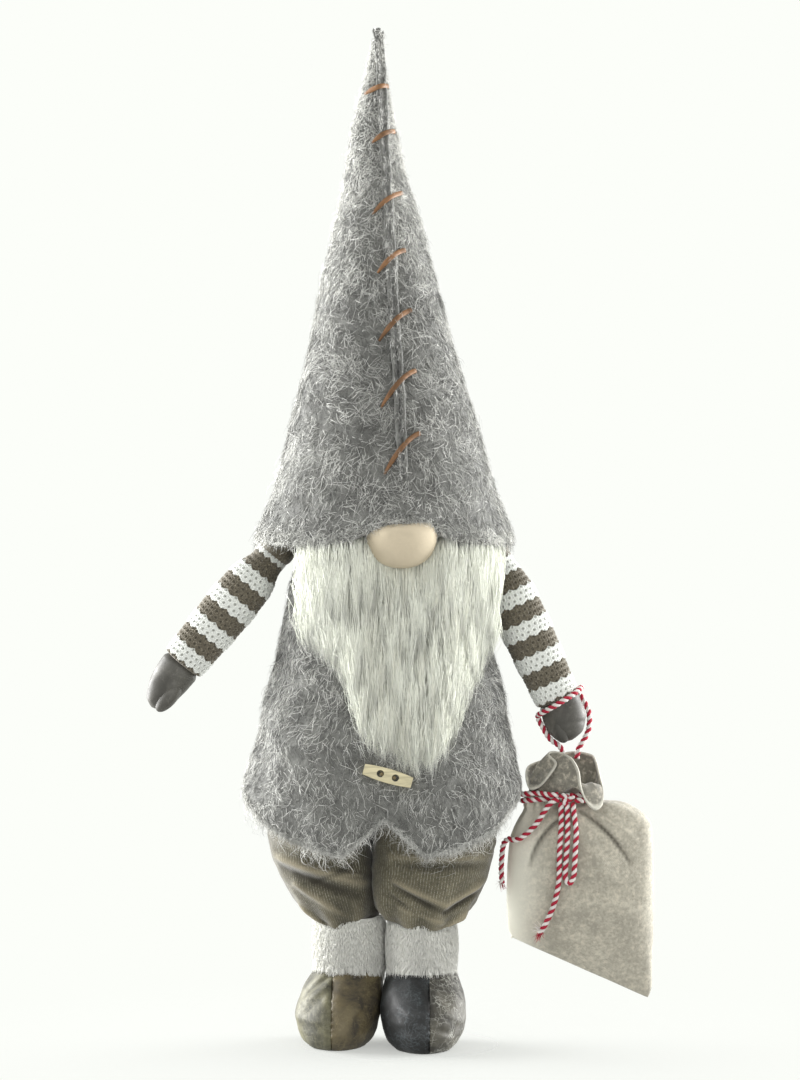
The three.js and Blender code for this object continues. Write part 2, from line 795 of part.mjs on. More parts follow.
function mittenBody(arm, wire) {
  const tuckRadius = sleeveRadius(arm, arm.length) - SLEEVE_WALL - GAP;
  const full = sleeveRadius(arm, arm.length) * 0.96;
  const start = arm.length + GAP;
  const profile = [
    [arm.length + arm.mitten, full * 0.16],
    [arm.length + arm.mitten * 0.93, full * arm.point * 0.8],
    [arm.length + arm.mitten * 0.75, full * (0.3 + arm.point * 0.72)],
    [arm.length + arm.mitten * 0.4, full * arm.bulge],
    [start + 1.5, full],
    [start, full * 0.95],
    [start, tuckRadius],
    [arm.length - MITTEN_TUCK, tuckRadius],
  ];
  const rings = profile.map(([distance, radius]) =>
    oval(0, 0, -distance, radius, radius * (distance > start ? 0.86 : 1), ARM_SIDES),
  );
  // The thumb lies along the inner edge, close to the hand
  const thumb = new THREE.SphereGeometry(1, 12, 8).scale(full * 0.42, full * 0.5, arm.mitten * 0.36);
  const thumbX = -arm.side * full * 0.52;
  thumb.translate(thumbX, -full * 0.3, -(arm.length + arm.mitten * 0.62));
  return solid(lofted(rings)).add(solid(thumb)).subtract(wire);
}

function armGroup(arm) {
  const group = new THREE.Group();
  group.position.set(BODY_X + arm.side * SHOULDER_SPREAD, ARM_BACK, SHOULDER_Z);
  group.rotation.y = -arm.side * THREE.MathUtils.degToRad(arm.angle);
  figure.add(group);
  return group;
}

function armRoom(arm) {
  const pivot = new THREE.Vector3(BODY_X + arm.side * SHOULDER_SPREAD, ARM_BACK, SHOULDER_Z);
  return ARM_ROOM_TURNS.map(([raise, swing]) => {
    const rings = [ARM_ROOM_REACH, ARM_ROOM_REACH * 0.5, SLEEVE_TOP].map((distance) => {
      const radius = sleeveRadius(arm, distance) + ARM_ROOM_CLEARANCE;
      return oval(0, 0, -distance, radius, radius, 10);
    });
    const rod = lofted(rings);
    rod.rotateY(-arm.side * THREE.MathUtils.degToRad(arm.angle));
    rod.rotateX(-THREE.MathUtils.degToRad(swing));
    rod.rotateY(-arm.side * THREE.MathUtils.degToRad(raise));
    return solid(rod.translate(pivot.x, pivot.y, pivot.z));
  });
}

function shoulderTab(arm, extra) {
  const from = BODY_X + arm.side * (SHOULDER_SPREAD - TAB_DEPTH - extra);
  const to = BODY_X + arm.side * SHOULDER_SPREAD;
  const rod = new THREE.CylinderGeometry(TAB_RADIUS + extra, TAB_RADIUS + extra, Math.abs(to - from), 12);
  return solid(rod.rotateZ(Math.PI / 2).translate((from + to) / 2, ARM_BACK, SHOULDER_Z));
}

function pivotBall(arm, radius, fine = 14) {
  return solid(
    ball(BODY_X + arm.side * SHOULDER_SPREAD, ARM_BACK, SHOULDER_Z, radius, fine, Math.round(fine * 0.7)),
  );
}

// Legs
function bootRings(leg, inset, from, to) {
  const middleY = leg.ankleY - BOOT_FORWARD;
  const base = SOLE_THICKNESS + GAP;
  const height = BOOT_HEIGHT - base;
  const levels = [from, ...BOOT_OUTLINE.map(([share]) => base + share * height), to];
  const inside = levels.filter((z, i) => (z > from && z < to) || i === 0 || i === levels.length - 1);
  return inside.map((z) => {
    const share = (z - base) / height;
    const way = column(BOOT_OUTLINE, share, 3);
    const x = THREE.MathUtils.lerp(leg.bootX, leg.ankleX, way);
    const y = THREE.MathUtils.lerp(middleY, leg.ankleY, way);
    const halfWidth = column(BOOT_OUTLINE, share, 1) - inset;
    const halfLength = column(BOOT_OUTLINE, share, 2) - inset;
    return oval(x, y, z, halfWidth, halfLength, BOOT_SIDES);
  });
}

function bootShell(leg) {
  const base = SOLE_THICKNESS + GAP;
  const outer = solid(lofted(bootRings(leg, 0, base, BOOT_HEIGHT)));
  const inner = solid(lofted(bootRings(leg, BOOT_WALL, base - 1, BOOT_HEIGHT + 1)));
  return outer.subtract(inner);
}

function halfSpace(fromX, toX) {
  return solid(box([fromX, -200, -10], [toX, 200, 200]));
}

function bootPanels(leg) {
  const shell = bootShell(leg);
  const seam = leg.bootX + leg.seam;
  const lowX = shell.intersect(halfSpace(seam - 200, seam - GAP / 2));
  const highX = shell.intersect(halfSpace(seam + GAP / 2, seam + 200));
  return leg === LEGS.left ? { outer: lowX, inner: highX } : { outer: highX, inner: lowX };
}

function soleBody(leg) {
  const middleY = leg.ankleY - BOOT_FORWARD;
  const [, halfWidth, halfLength] = BOOT_OUTLINE[0];
  const rings = [
    [0, -1.5],
    [SOLE_THICKNESS * 0.4, 0],
    [SOLE_THICKNESS, 0],
  ].map(([z, grow]) => oval(leg.bootX, middleY, z, halfWidth + grow, halfLength + grow, BOOT_SIDES));
  return solid(lofted(rings));
}

function weightBody(leg) {
  const inset = BOOT_WALL + GAP + 0.3;
  return solid(lofted(bootRings(leg, inset, SOLE_THICKNESS + GAP, WEIGHT_TOP)));
}

function dowelBody(leg, extra) {
  const low = SOLE_THICKNESS + GAP + 2 - extra;
  const radius = DOWEL_RADIUS + extra;
  const top = DOWEL_TOP + extra;
  const rod = new THREE.CylinderGeometry(radius, radius, top - low, 12).rotateX(Math.PI / 2);
  return solid(rod.translate(leg.ankleX, leg.ankleY, (top + low) / 2));
}

function ankleBody(leg) {
  const top = BOOT_HEIGHT + CUFF_HEIGHT;
  const rings = [
    [WEIGHT_TOP + GAP, 0.96],
    [WEIGHT_TOP + 8, 1],
    [top - 6, 1],
    [top, 0.96],
  ].map(([z, share]) => {
    const radius = ANKLE_RADIUS * share;
    return oval(leg.ankleX, leg.ankleY, z, radius, radius, LEG_SIDES);
  });
  return solid(lofted(rings));
}

function cuffBody(leg) {
  const rings = CUFF_OUTLINE.map(([share, grow]) => {
    const z = BOOT_HEIGHT + GAP + share * (CUFF_HEIGHT - 2 * GAP);
    return oval(leg.ankleX, leg.ankleY, z, CUFF_RADIUS * grow, CUFF_RADIUS * grow, LEG_SIDES);
  });
  const radius = ANKLE_RADIUS + GAP;
  const bore = new THREE.CylinderGeometry(radius, radius, CUFF_HEIGHT + 4, LEG_SIDES).rotateX(Math.PI / 2);
  const middle = BOOT_HEIGHT + CUFF_HEIGHT / 2;
  return solid(lofted(rings)).subtract(solid(bore.translate(leg.ankleX, leg.ankleY, middle)));
}

function trouserBody(leg) {
  const low = BOOT_HEIGHT + CUFF_HEIGHT + GAP;
  const high = HIP_Z;
  const rings = TROUSER_OUTLINE.map(([share, width, way]) => {
    const x = THREE.MathUtils.lerp(leg.ankleX, leg.hipX, way);
    const y = THREE.MathUtils.lerp(leg.ankleY, 0, way);
    const half = leg.hipHalf * width;
    return oval(x, y, THREE.MathUtils.lerp(low, high, share), half, half * TROUSER_DEPTH_SHARE, LEG_SIDES);
  });
  return solid(lofted(rings));
}

// Sack
function sackPoint({ left, right, half }, inset, angle) {
  const across = Math.cos(angle);
  const through = Math.sin(angle);
  const stretch = (Math.abs(across) ** SACK_SQUARE + Math.abs(through) ** SACK_SQUARE) ** (-1 / SACK_SQUARE);
  const width = right[0] - left[0];
  const way = 0.5 + across * stretch * (0.5 - inset / width);
  const x = THREE.MathUtils.lerp(left[0], right[0], way);
  const z = THREE.MathUtils.lerp(left[1], right[1], way);
  return new THREE.Vector3(x, SACK_Y + Math.max(half - inset, 0.6) * through * stretch, z);
}

function sackRing(slice, inset) {
  return ring(SACK_SIDES, (angle) => sackPoint(slice, inset, angle));
}

function raised({ left, right, half }, rise, slim = 0) {
  return { left: [left[0] + slim, left[1] + rise], right: [right[0] - slim, right[1] + rise], half };
}

function sackCloth() {
  const outer = solid(lofted([...SACK_BODY, ...SACK_FRILL].map((slice) => sackRing(slice, 0))));
  const [first, ...rest] = SACK_BODY;
  const neck = SACK_FRILL[0];
  const cavity = [
    sackRing(raised(first, SACK_LINEN + 1), SACK_LINEN),
    ...rest.slice(0, -1).map((slice) => sackRing(slice, SACK_LINEN)),
    sackRing(raised(rest[rest.length - 1], 0, 12), 4.5),
    sackRing(raised(neck, 0, 12), 4.5),
    ...SACK_FRILL.slice(1, -1).map((slice) => sackRing(raised(slice, 0, 2), 3)),
    sackRing(raised(SACK_FRILL[SACK_FRILL.length - 1], 1), FRILL_EDGE),
  ];
  return outer.subtract(solid(lofted(cavity)));
}

function sackFilling() {
  const inset = SACK_LINEN + GAP + 0.4;
  const [first, ...rest] = SACK_BODY;
  const rings = [
    sackRing(raised(first, inset + 1.6), inset + 0.4),
    ...rest.slice(0, -1).map((slice) => sackRing(slice, inset)),
  ];
  return solid(lofted(rings));
}

// Twine round the sack's neck, one tube of two turns that climbs as it goes, with both ends at the knot
const neckSlice = SACK_BODY[SACK_BODY.length - 1];
const neckFrontY = SACK_Y - neckSlice.half - CORD_GAP - 2 * TWINE_RADIUS;
const knotY = neckFrontY - GAP - KNOT_SIZE[1] / 2;
const windingLow = CORD_GAP + TWINE_RADIUS;
const knotZ = (neckSlice.left[1] + neckSlice.right[1]) / 2 + windingLow + (WINDING_TURNS * WINDING_PITCH) / 2;

function windingRoute() {
  const middleX = (neckSlice.left[0] + neckSlice.right[0]) / 2;
  const halfWidth = (neckSlice.right[0] - neckSlice.left[0]) / 2 + windingLow;
  const startAngle = -Math.PI / 2 + Math.asin((KNOT_X - middleX) / halfWidth);
  const knotSide = KNOT_SIZE[0] / 2 + GAP;
  const points = [];
  for (let k = WINDING_FREE; k <= WINDING_TURNS * WINDING_STEPS - WINDING_FREE; k += 1) {
    const turn = k / WINDING_STEPS;
    const point = sackPoint(neckSlice, -windingLow, startAngle + turn * 2 * Math.PI);
    points.push([point.x, point.y, point.z + windingLow + WINDING_PITCH * turn]);
  }
  const end = (side, rise) => [
    [KNOT_X + side * knotSide, knotY, knotZ + rise],
    [KNOT_X + side * (knotSide + 2 * TWINE_RADIUS), knotY, knotZ + rise],
  ];
  return [...end(1, KNOT_ENDS.low), ...points, ...end(-1, KNOT_ENDS.high).reverse()];
}

function knotBody(extra) {
  const half = KNOT_SIZE.map((size) => size / 2 + extra);
  return solid(new THREE.SphereGeometry(1, 14, 10).scale(...half).translate(KNOT_X, knotY, knotZ));
}

function twine(route, steps) {
  return solid(tube(route, TWINE_RADIUS, CORD_SIDES, steps)).subtract(knotBody(GAP));
}

// Loop round the right wrist, turned from the arm's own directions into the figure's
function carryLoopRoute() {
  const arm = ARMS.right;
  const angle = THREE.MathUtils.degToRad(arm.angle);
  const pivotX = BODY_X + arm.side * SHOULDER_SPREAD;
  return CARRY_LOOP.map(([past, across, depth]) => {
    const along = arm.length + past;
    return [
      pivotX + along * Math.sin(angle) + across * Math.cos(angle),
      ARM_BACK + depth,
      SHOULDER_Z - along * Math.cos(angle) + across * Math.sin(angle),
    ];
  });
}

function leastGap(points, radius, skip) {
  let least = Infinity;
  points.forEach((a, i) => {
    points.slice(i + skip).forEach((b) => {
      least = Math.min(least, Math.hypot(a[0] - b[0], a[1] - b[1], a[2] - b[2]) - 2 * radius);
    });
  });
  return least;
}

// Every round of a closed loop of rings joined to the next one
function looped(rings) {
  const sides = rings[0].length;
  const faces = [];
  rings.forEach((_, k) => {
    const low = k * sides;
    const high = ((k + 1) % rings.length) * sides;
    for (let i = 0; i < sides; i += 1) {
      const j = (i + 1) % sides;
      faces.push(low + i, low + j, high + j, low + i, high + j, high + i);
    }
  });
  const geometry = new THREE.BufferGeometry().setFromPoints(rings.flat());
  geometry.setIndex(faces);
  return geometry;
}

function coatShell() {
  const rings = [
    ...COAT_SHARES.map((share) => coatRing(share, FELT)),
    ...COAT_SHARES.map((share) => coatRing(share, 0)).reverse(),
  ];
  const hemLow = CORNER_Z - HEM_DROP;
  const below = hemLow - 10;
  const notch = new THREE.Shape([
    new THREE.Vector2(NOTCH_X - NOTCH_HALF_WIDTH, hemLow),
    new THREE.Vector2(NOTCH_X - NOTCH_HALF_WIDTH, below),
    new THREE.Vector2(NOTCH_X + NOTCH_HALF_WIDTH, below),
    new THREE.Vector2(NOTCH_X + NOTCH_HALF_WIDTH, hemLow),
    new THREE.Vector2(NOTCH_X, hemLow + NOTCH_HEIGHT),
  ]);
  const cut = new THREE.ExtrudeGeometry(notch, { depth: COAT_WIDTH / 2, bevelEnabled: false });
  return solid(looped(rings)).subtract(solid(cut.rotateX(Math.PI / 2)));
}

function without(body, cuts) {
  return cuts.reduce((rest, cut) => rest.subtract(cut), body);
}

// Assembly: hat, head and face
const arms = Object.values(ARMS);
const rooms = arms.flatMap((arm) => armRoom(arm));
const noseRoom = noseBody(GAP);
const hatCuts = [
  ...LACE_STITCHES.map((stitch) => lace(stitch, LACE_RADIUS + GAP)),
  ...rooms,
  ...arms.map((arm) => pivotBall(arm, BALL_RADIUS + HAT_ROOM)),
  noseRoom,
];
piece("hat", without(hatShell().add(seamRidge()), hatCuts), FELT_GREY);
LACE_STITCHES.forEach((stitch) => {
  piece(stitch.name, lace(stitch, LACE_RADIUS), LACE_TAN, { roughness: 0.6 });
});
piece("head_stuffing", headCore().subtract(noseRoom), STUFFING);
piece("hat_filling", hatFilling(), STUFFING);
piece("nose", noseBody(0), SKIN);

// Assembly: torso, coat, beard and toggle
const shoulderCuts = arms.flatMap((arm) => [
  pivotBall(arm, ARMHOLE_RADIUS, ARMHOLE_FINENESS),
  shoulderTab(arm, GAP),
]);
const dowelCuts = Object.values(LEGS).map((leg) => dowelBody(leg, GAP));
const toggles = toggleGroup();
const threadRoom = movedTo(geometryOf(threadBody(THREAD_RADIUS + GAP)), toggles).translate(0, -BODY_Y, 0);
const threadCut = solid(threadRoom);
piece("coat", without(coatShell(), [...shoulderCuts, ...rooms, threadCut]), FELT_GREY);
piece("torso_stuffing", without(torsoCore(), [...shoulderCuts, ...dowelCuts, threadCut]), STUFFING);
piece("beard", without(beardBody(), [...rooms, noseRoom]), FUR_IVORY);
piece("toggle_button", toggleBody(), PALE_WOOD, { roughness: 0.6, parent: toggles });
piece("toggle_thread", threadBody(THREAD_RADIUS), STUFFING, { parent: toggles });

// Assembly: arms
Object.entries(ARMS).forEach(([side, arm]) => {
  const tab = shoulderTab(arm, 0).subtract(pivotBall(arm, BALL_RADIUS + BALL_ROOM));
  const parent = armGroup(arm);
  const wireRoom = wireBody(arm, GAP);
  piece(`${side}_shoulder_tab`, tab, STUFFING);
  piece(`${side}_shoulder_ball`, pivotBall(arm, BALL_RADIUS), STUFFING);
  piece(`${side}_sleeve`, sleeveBody(arm), KNIT, { parent });
  piece(`${side}_arm_stuffing`, armStuffing(arm, wireRoom), STUFFING, { parent });
  piece(`${side}_arm_wire`, wireBody(arm, 0), STEEL, { roughness: 0.4, metalness: 1, parent });
  piece(`${side}_mitten`, mittenBody(arm, wireRoom), SUEDE, { roughness: 0.6, parent });
});

// Assembly: legs
Object.entries(LEGS).forEach(([side, leg]) => {
  const dowelHole = dowelBody(leg, GAP);
  const panels = bootPanels(leg);
  piece(`${side}_trouser_leg`, trouserBody(leg).subtract(dowelHole), TROUSER_CLOTH);
  piece(`${side}_fur_cuff`, cuffBody(leg), FUR_IVORY);
  piece(`${side}_ankle_stuffing`, ankleBody(leg).subtract(dowelHole), STUFFING);
  piece(`${side}_leg_dowel`, dowelBody(leg, 0), PALE_WOOD, { roughness: 0.7 });
  piece(`${side}_boot_outer_panel`, panels.outer, leg.outerColor, { roughness: 0.55 });
  piece(`${side}_boot_inner_panel`, panels.inner, leg.innerColor, { roughness: 0.55 });
  piece(`${side}_boot_weight`, weightBody(leg).subtract(dowelHole), PELLETS, { roughness: 0.7 });
  piece(`${side}_boot_sole`, soleBody(leg), RUBBER, { roughness: 0.8 });
});

// Assembly: sack and its twine
const winding = windingRoute();
const windingTube = tube(winding, TWINE_RADIUS, WINDING_SIDES, WINDING_TURNS * WINDING_STEPS);
console.log(`neck winding: least gap to itself ${leastGap(winding, TWINE_RADIUS, 6).toFixed(2)} mm`);
piece("sack_cloth", sackCloth(), LINEN);
piece("sack_filling", sackFilling(), STUFFING);
piece("neck_winding", solid(windingTube), TWINE_RED);
piece("twine_knot", knotBody(0), TWINE_RED);
piece("bow_loop", twine(BOW_LOOP, CORD_STEPS.bow_loop), TWINE_RED);
piece("front_tail", twine(FRONT_TAIL, CORD_STEPS.front_tail), TWINE_RED);
piece("side_tail", twine(SIDE_TAIL, CORD_STEPS.side_tail), TWINE_RED);
piece("carry_loop", twine(carryLoopRoute(), CORD_STEPS.carry_loop), TWINE_RED);

export default gnome;
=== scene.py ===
import math

import bpy
import numpy as np
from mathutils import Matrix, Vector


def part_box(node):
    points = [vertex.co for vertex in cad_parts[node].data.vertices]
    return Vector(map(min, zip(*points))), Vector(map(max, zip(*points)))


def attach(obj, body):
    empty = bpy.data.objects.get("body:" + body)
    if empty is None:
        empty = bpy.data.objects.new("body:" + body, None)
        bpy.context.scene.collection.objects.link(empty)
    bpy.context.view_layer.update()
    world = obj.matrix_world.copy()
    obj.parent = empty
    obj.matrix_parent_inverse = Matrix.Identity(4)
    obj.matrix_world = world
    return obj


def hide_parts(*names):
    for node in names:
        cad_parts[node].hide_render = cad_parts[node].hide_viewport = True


bl_info = {
    "name": "Christmas Gnome",
    "version": (1, 0, 0),
    "blender": (4, 5, 0),
    "location": "3D View > Sidebar > Gnome",
    "description": "Builds a stuffed christmas gnome with its fur, knit and linen on a packed frame",
    "category": "Object",
}

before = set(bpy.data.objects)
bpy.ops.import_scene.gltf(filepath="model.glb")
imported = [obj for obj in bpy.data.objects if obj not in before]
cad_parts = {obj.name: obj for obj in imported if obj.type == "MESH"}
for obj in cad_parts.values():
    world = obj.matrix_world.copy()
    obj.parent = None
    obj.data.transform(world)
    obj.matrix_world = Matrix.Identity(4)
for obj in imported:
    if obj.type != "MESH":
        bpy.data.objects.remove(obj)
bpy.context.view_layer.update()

# Everything below is worked out in millimetres and stored in metres
MM = 0.001
TURN = 2 * math.pi

# Figure: middle of the body, and the heights of hip, neck, brim, ankle and boot top
BODY_X, BODY_Y = -11.0, 5.0
HIP_Z, NECK_Z, BRIM_Z = 160.0, 343.0, 338.5
ANKLE_Z, BOOT_TOP = 87.0, 50.0

# Hat: share of height, share of width, lean
HAT_HEIGHT, HAT_WIDTH, HAT_DEPTH = 351.5, 178.0, 158.0
HAT_TOP = BRIM_Z + HAT_HEIGHT
HAT_ROWS = np.array([
    [0, 1, 0], [0.03, 0.965, 0.4], [0.087, 0.86, 1], [0.164, 0.776, 0.6], [0.242, 0.702, -0.5],
    [0.32, 0.612, -1.2], [0.397, 0.528, -2.3], [0.475, 0.46, -3], [0.552, 0.382, -4.2],
    [0.63, 0.309, -4.6], [0.707, 0.23, -5.8], [0.785, 0.18, -6.4], [0.862, 0.107, -6],
    [0.94, 0.05, -4.6], [1, 0.024, -3.6],
])
# The brim rises over the nose, and a little over the left arm
BRIM_LIFT, BRIM_LIFT_SPREAD, BRIM_LIFT_X = 15.0, 30.0, 1.0
BRIM_ARM_LIFT, BRIM_ARM_SPREAD, BRIM_ARM_X = 2.8, 11.0, -99.6
SEAM_LOW_Z, SEAM_LOW_X, SEAM_LIP = 366.0, 3.3, 1.75
FELT = 3.0

# Coat: share of length below the neck, share of width
COAT_WIDTH, COAT_LENGTH, HEM_DROP = 188.0, 165.5, 48.0
COAT_ROWS = np.array([
    [0, 0.5], [0.048, 0.57], [0.109, 0.62], [0.169, 0.655], [0.254, 0.685],
    [0.417, 0.75], [0.665, 0.86], [0.828, 0.915], [1, 1],
])
# Depth of the coat as a share of its width, at the neck and at the hem
COAT_FLAT = (0.8, 0.68)
NOTCH_X, NOTCH_HEIGHT, NOTCH_SLOPE = -10.5, 27.0, 0.9

# Beard: place across and how far its tips fall below its top
BEARD_TOP = 338.0
BEARD_TIPS = np.array([
    [-76, 26], [-73, 40], [-67, 58], [-53, 74], [-40, 84], [-33, 104], [-26, 127], [-20, 136], [-14, 141],
    [-6, 145], [2, 148], [12, 152], [21, 151], [28, 145], [34, 131], [40, 114], [52, 88], [62, 66],
    [72, 46], [76, 26],
])
# The beard passes behind the nose, below this height and this wide, and hangs from the brim's inside
NOSE_FOOT, NOSE_HALF, NOSE_BULGE = 306.0, 25.0, 7.0
BEARD_LOCKS, BEARD_ROOTS = 310, (-65, 64)

# Arms: pivot, angle from straight down, sleeve and mitten length
ARMS = {
    "left": dict(side=-1, pivot=(-83.5, 15.0, 336.0), angle=39.6, length=102.3, mitten=36.0, blunt=0.5),
    "right": dict(side=1, pivot=(61.5, 15.0, 336.0), angle=24.2, length=113.4, mitten=28.7, blunt=0.72),
}
SLEEVE_ROWS = np.array([[0, 12.5], [0.08, 14.5], [0.22, 16.6], [0.5, 17.2], [0.78, 16], [1, 14.6]])
SLEEVE_TOP, SLEEVE_START, SLEEVE_CAP, SLEEVE_LEAST = 10.0, -13.4, 13.6, 11.9
# Knit: stitches round, height of a row, height of a white and a brown stripe, depth of a stitch
STITCHES, STITCH_ROW, STRIPES, STITCH_DEPTH = 24, 3.8, 22.8, 1.1
PALM = 14.6 * 0.96
# Degrees that the joints turn, which the fibres leave room for
ARM_RAISE, ARM_SWING, SACK_SWING = 8, (-15, 40), 38

# Legs: ankle, boot's middle, its front seam off that middle, hip, half width of the thigh, how far the
# thighs press and tuck, shift and radius of the cuff, then folds and the boot's creases, each with its
# start, end, width and height
LEGS = {
    "left": dict(
        side=-1, ankle=(-35.5, 11.0), boot=-42.7, seam=-3.5, hip=-54.0, half=36.5, press=1.5, tuck=9.0,
        cuff=(1.0, 22.8),
        folds=[
            ((-74, 100), (-45, 76), 1.1, 1.6), ((-78, 95), (-49, 72), 1.6, -1.6),
            ((-84, 128), (-24, 110), 3.0, 1.9), ((-82, 121), (-28, 103), 3.0, -2.0),
            ((-70, 110), (-36, 88), 2.3, 1.4), ((-80, 140), (-34, 130), 3, 1.2),
            ((-58, 112), (-30, 124), 1.8, -1.2), ((-64, 122), (-26, 116), 1.4, 1.0),
        ],
        creases=[
            ((-62, 38), (-47, 50), 1.8, -2.4), ((-64, 31), (-46, 45), 1.8, 1.6),
            ((-62, 26), (-50, 36), 2.2, -1.4), ((-34, 18), (-22, 26), 3, -0.9),
        ],
    ),
    "right": dict(
        side=1, ankle=(15.0, -3.0), boot=15.6, seam=4.4, hip=26.5, half=40.0, press=5.5, tuck=-2.5,
        cuff=(-0.2, 21.8),
        folds=[
            ((-4, 114), (30, 97), 2.0, 1.8), ((30, 97), (60, 113), 2.0, 1.8),
            ((-4, 109), (30, 92), 1.7, -1.9), ((30, 92), (58, 107), 1.7, -1.9),
            ((0, 96), (32, 83), 1.6, 1.3), ((32, 83), (56, 98), 1.6, 1.3), ((20, 76), (52, 94), 1.1, 1.4),
            ((-6, 130), (58, 128), 3.0, 1.2), ((0, 124), (56, 123), 3.0, -1.2),
            ((-8, 104), (16, 88), 1.2, -1.2),
        ],
        creases=[
            ((4, 26), (-4, 29), 1.4, -1.2), ((24, 40), (38, 30), 1.8, -1.4),
            ((26, 30), (40, 20), 1.8, 1.2), ((24, 18), (36, 12), 2, -0.9),
        ],
    ),
}
# Boot: share of height, half width, half depth, share of the way from the boot's middle to the ankle
BOOT_ROWS = np.array([
    [0, 19.5, 34.5, 0], [0.03, 21.8, 37, 0], [0.09, 24.4, 39.6, 0], [0.22, 27.3, 42.4, 0],
    [0.4, 29, 42.5, 0.05], [0.58, 28.6, 38.5, 0.25], [0.74, 27.4, 33, 0.55], [0.88, 25.2, 27.5, 0.85],
    [1, 22.8, 22.8, 1],
])
BOOT_FOOT, BOOT_FORWARD, BOOT_REACH = 0.5, 8.0, 28.0
SOLE_HALF, SOLE_EDGE = (19.0, 34.0, 2.0), 1.2
# Trousers: share of height, share of width, share of the way from the ankle to the hip
TROUSER_ROWS = np.array([
    [0, 0.66, 0.14], [0.1, 0.8, 0.3], [0.28, 0.9, 0.62], [0.52, 0.96, 0.9], [0.76, 1, 1], [1, 0.98, 1],
])
CUFF_LOW, CUFF_HEIGHT, CUFF_TUFTS = 49.5, 36.5, 30

# Sack: share of the way up, place and height of its left and of its right end, half thickness
SACK_Y, SACK_SQUARE = 17.0, 2.6
SACK_ROWS = np.array([
    [0, 79, 68.6, 168, 28.6, 2], [0.015, 75, 71, 171, 29, 3.4], [0.04, 73.4, 76, 172.4, 34.6, 6],
    [0.1, 73.1, 83.3, 172, 48, 11], [0.26, 72.8, 100, 173.4, 76.8, 19], [0.52, 73.4, 121, 173.4, 110.8, 22],
    [0.7, 75, 138, 172.6, 143, 20], [0.78, 77.5, 145, 170.5, 152.5, 17.5],
    [0.84, 80.5, 150.5, 160, 160, 14.5], [0.885, 83.5, 155, 146.5, 166, 11],
    [0.93, 86.2, 158.5, 130.6, 162, 8.5], [1, 86.2, 171.5, 130.6, 174, 8.5],
])
NECK_ROW = SACK_ROWS[-2]
SACK_PIVOT = (17.0, 200.0)
# Folds of the sack's front: from, to, width, depth, bow. The first two are the deep ones
SACK_DEEP = 2
SACK_CREASES = [
    ((112, 154), (88, 121), 1.3, 3.8, -4.5), ((121.5, 158), (156.5, 122), 1.3, 3.8, 3.6),
    ((117, 150), (95, 110), 5.5, -2.6, 0), ((118, 150), (142, 112), 6, -2.6, 0),
    ((138, 158), (160, 138), 2.2, -1.8, 0), ((134, 160), (152, 146), 2.0, 1.6, 0),
    ((106, 116), (158, 100), 6, 1.8, 0), ((112, 100), (168, 86), 7, -2.0, 0),
    ((100, 82), (150, 70), 7, 1.4, 0),
]
# Edge of the frill, from its right side round the back and the left to the loop that hangs in front
FRILL_EDGE = [
    (134, 17, 190), (131, 24, 195), (119, 28, 197), (106, 25, 195), (97, 28, 191), (88, 24, 187),
    (86, 15, 181), (89, 6, 173), (96, 2, 175), (103, -2, 183), (108, 3, 191), (103, 9, 197),
    (110, 10, 198.5), (117, 3, 195), (121, -4, 187), (122, -6, 176), (125, -7, 166), (131, -6, 160),
    (136, -2, 163), (137, 4, 174), (135, 10, 184),
]
FRILL_NECK, FRILL_FOOT, FRILL_POINTS = (108.4, 20.0, 8.0), 165.5, 600

# Twine and its routes, which are the solids' own
TWINE, TWINE_PITCH = 1.85, 6.2
KNOT = (113.0, 0.5, 166.5)
BOW_LOOP = [
    (117.4, 0.4, 164), (117.8, -1.5, 158), (118.6, -4.5, 151), (119.2, -6.6, 143), (118.6, -7.8, 133),
    (118, -8.6, 122), (117.2, -8.8, 114), (114.2, -8.8, 109.8), (111.8, -8.6, 114), (112, -8.6, 122),
    (112.8, -7.8, 133), (113.4, -6.6, 143), (113.6, -4.5, 151), (113.5, -1.5, 158), (113.3, 0.4, 164),
]
FRONT_TAIL = [
    (109.2, 0.4, 164), (109.2, -1.8, 158), (109.2, -4.6, 151), (108.7, -6.6, 143), (108, -7.8, 133),
    (107.6, -8.6, 122), (107.4, -8.4, 112), (105.6, -7, 101), (102.6, -5.4, 91), (98.6, -3.6, 82),
    (94.6, -1.6, 75),
]
SIDE_TAIL = [
    (108, -0.4, 165.8), (103.4, -1.4, 164.6), (99, -1.8, 159.6), (94.5, -2, 152.5), (89.5, -2.4, 146.5),
    (84, -2.2, 141.5), (78.5, -0.6, 138.5), (74, 2.4, 139), (70.6, 5.8, 135.5), (69.4, 8, 127),
    (69, 9, 117), (69.6, 9.2, 108),
]
# Past the right sleeve's end, across the arm, depth
CARRY_LOOP = [
    (40, -12.5, 2), (30, -11.8, 1), (22.5, -15.6, 0), (14.8, -17, 0), (4.5, -17.2, -2), (2.6, -12.6, -12),
    (1, 0, -17.4), (-0.6, 12.8, -12.6), (-1.6, 18, 0), (0.6, 15, 10.8), (7.5, 16, 9.4), (17, 15.8, 6),
    (26, 11.6, 3), (31.4, 6, 2), (36, -0.6, 2), (42, -4.8, 2),
]
WINDING_TURNS, WINDING_PITCH, WINDING_STEPS, WINDING_FREE = 2, 4.4, 24, 3
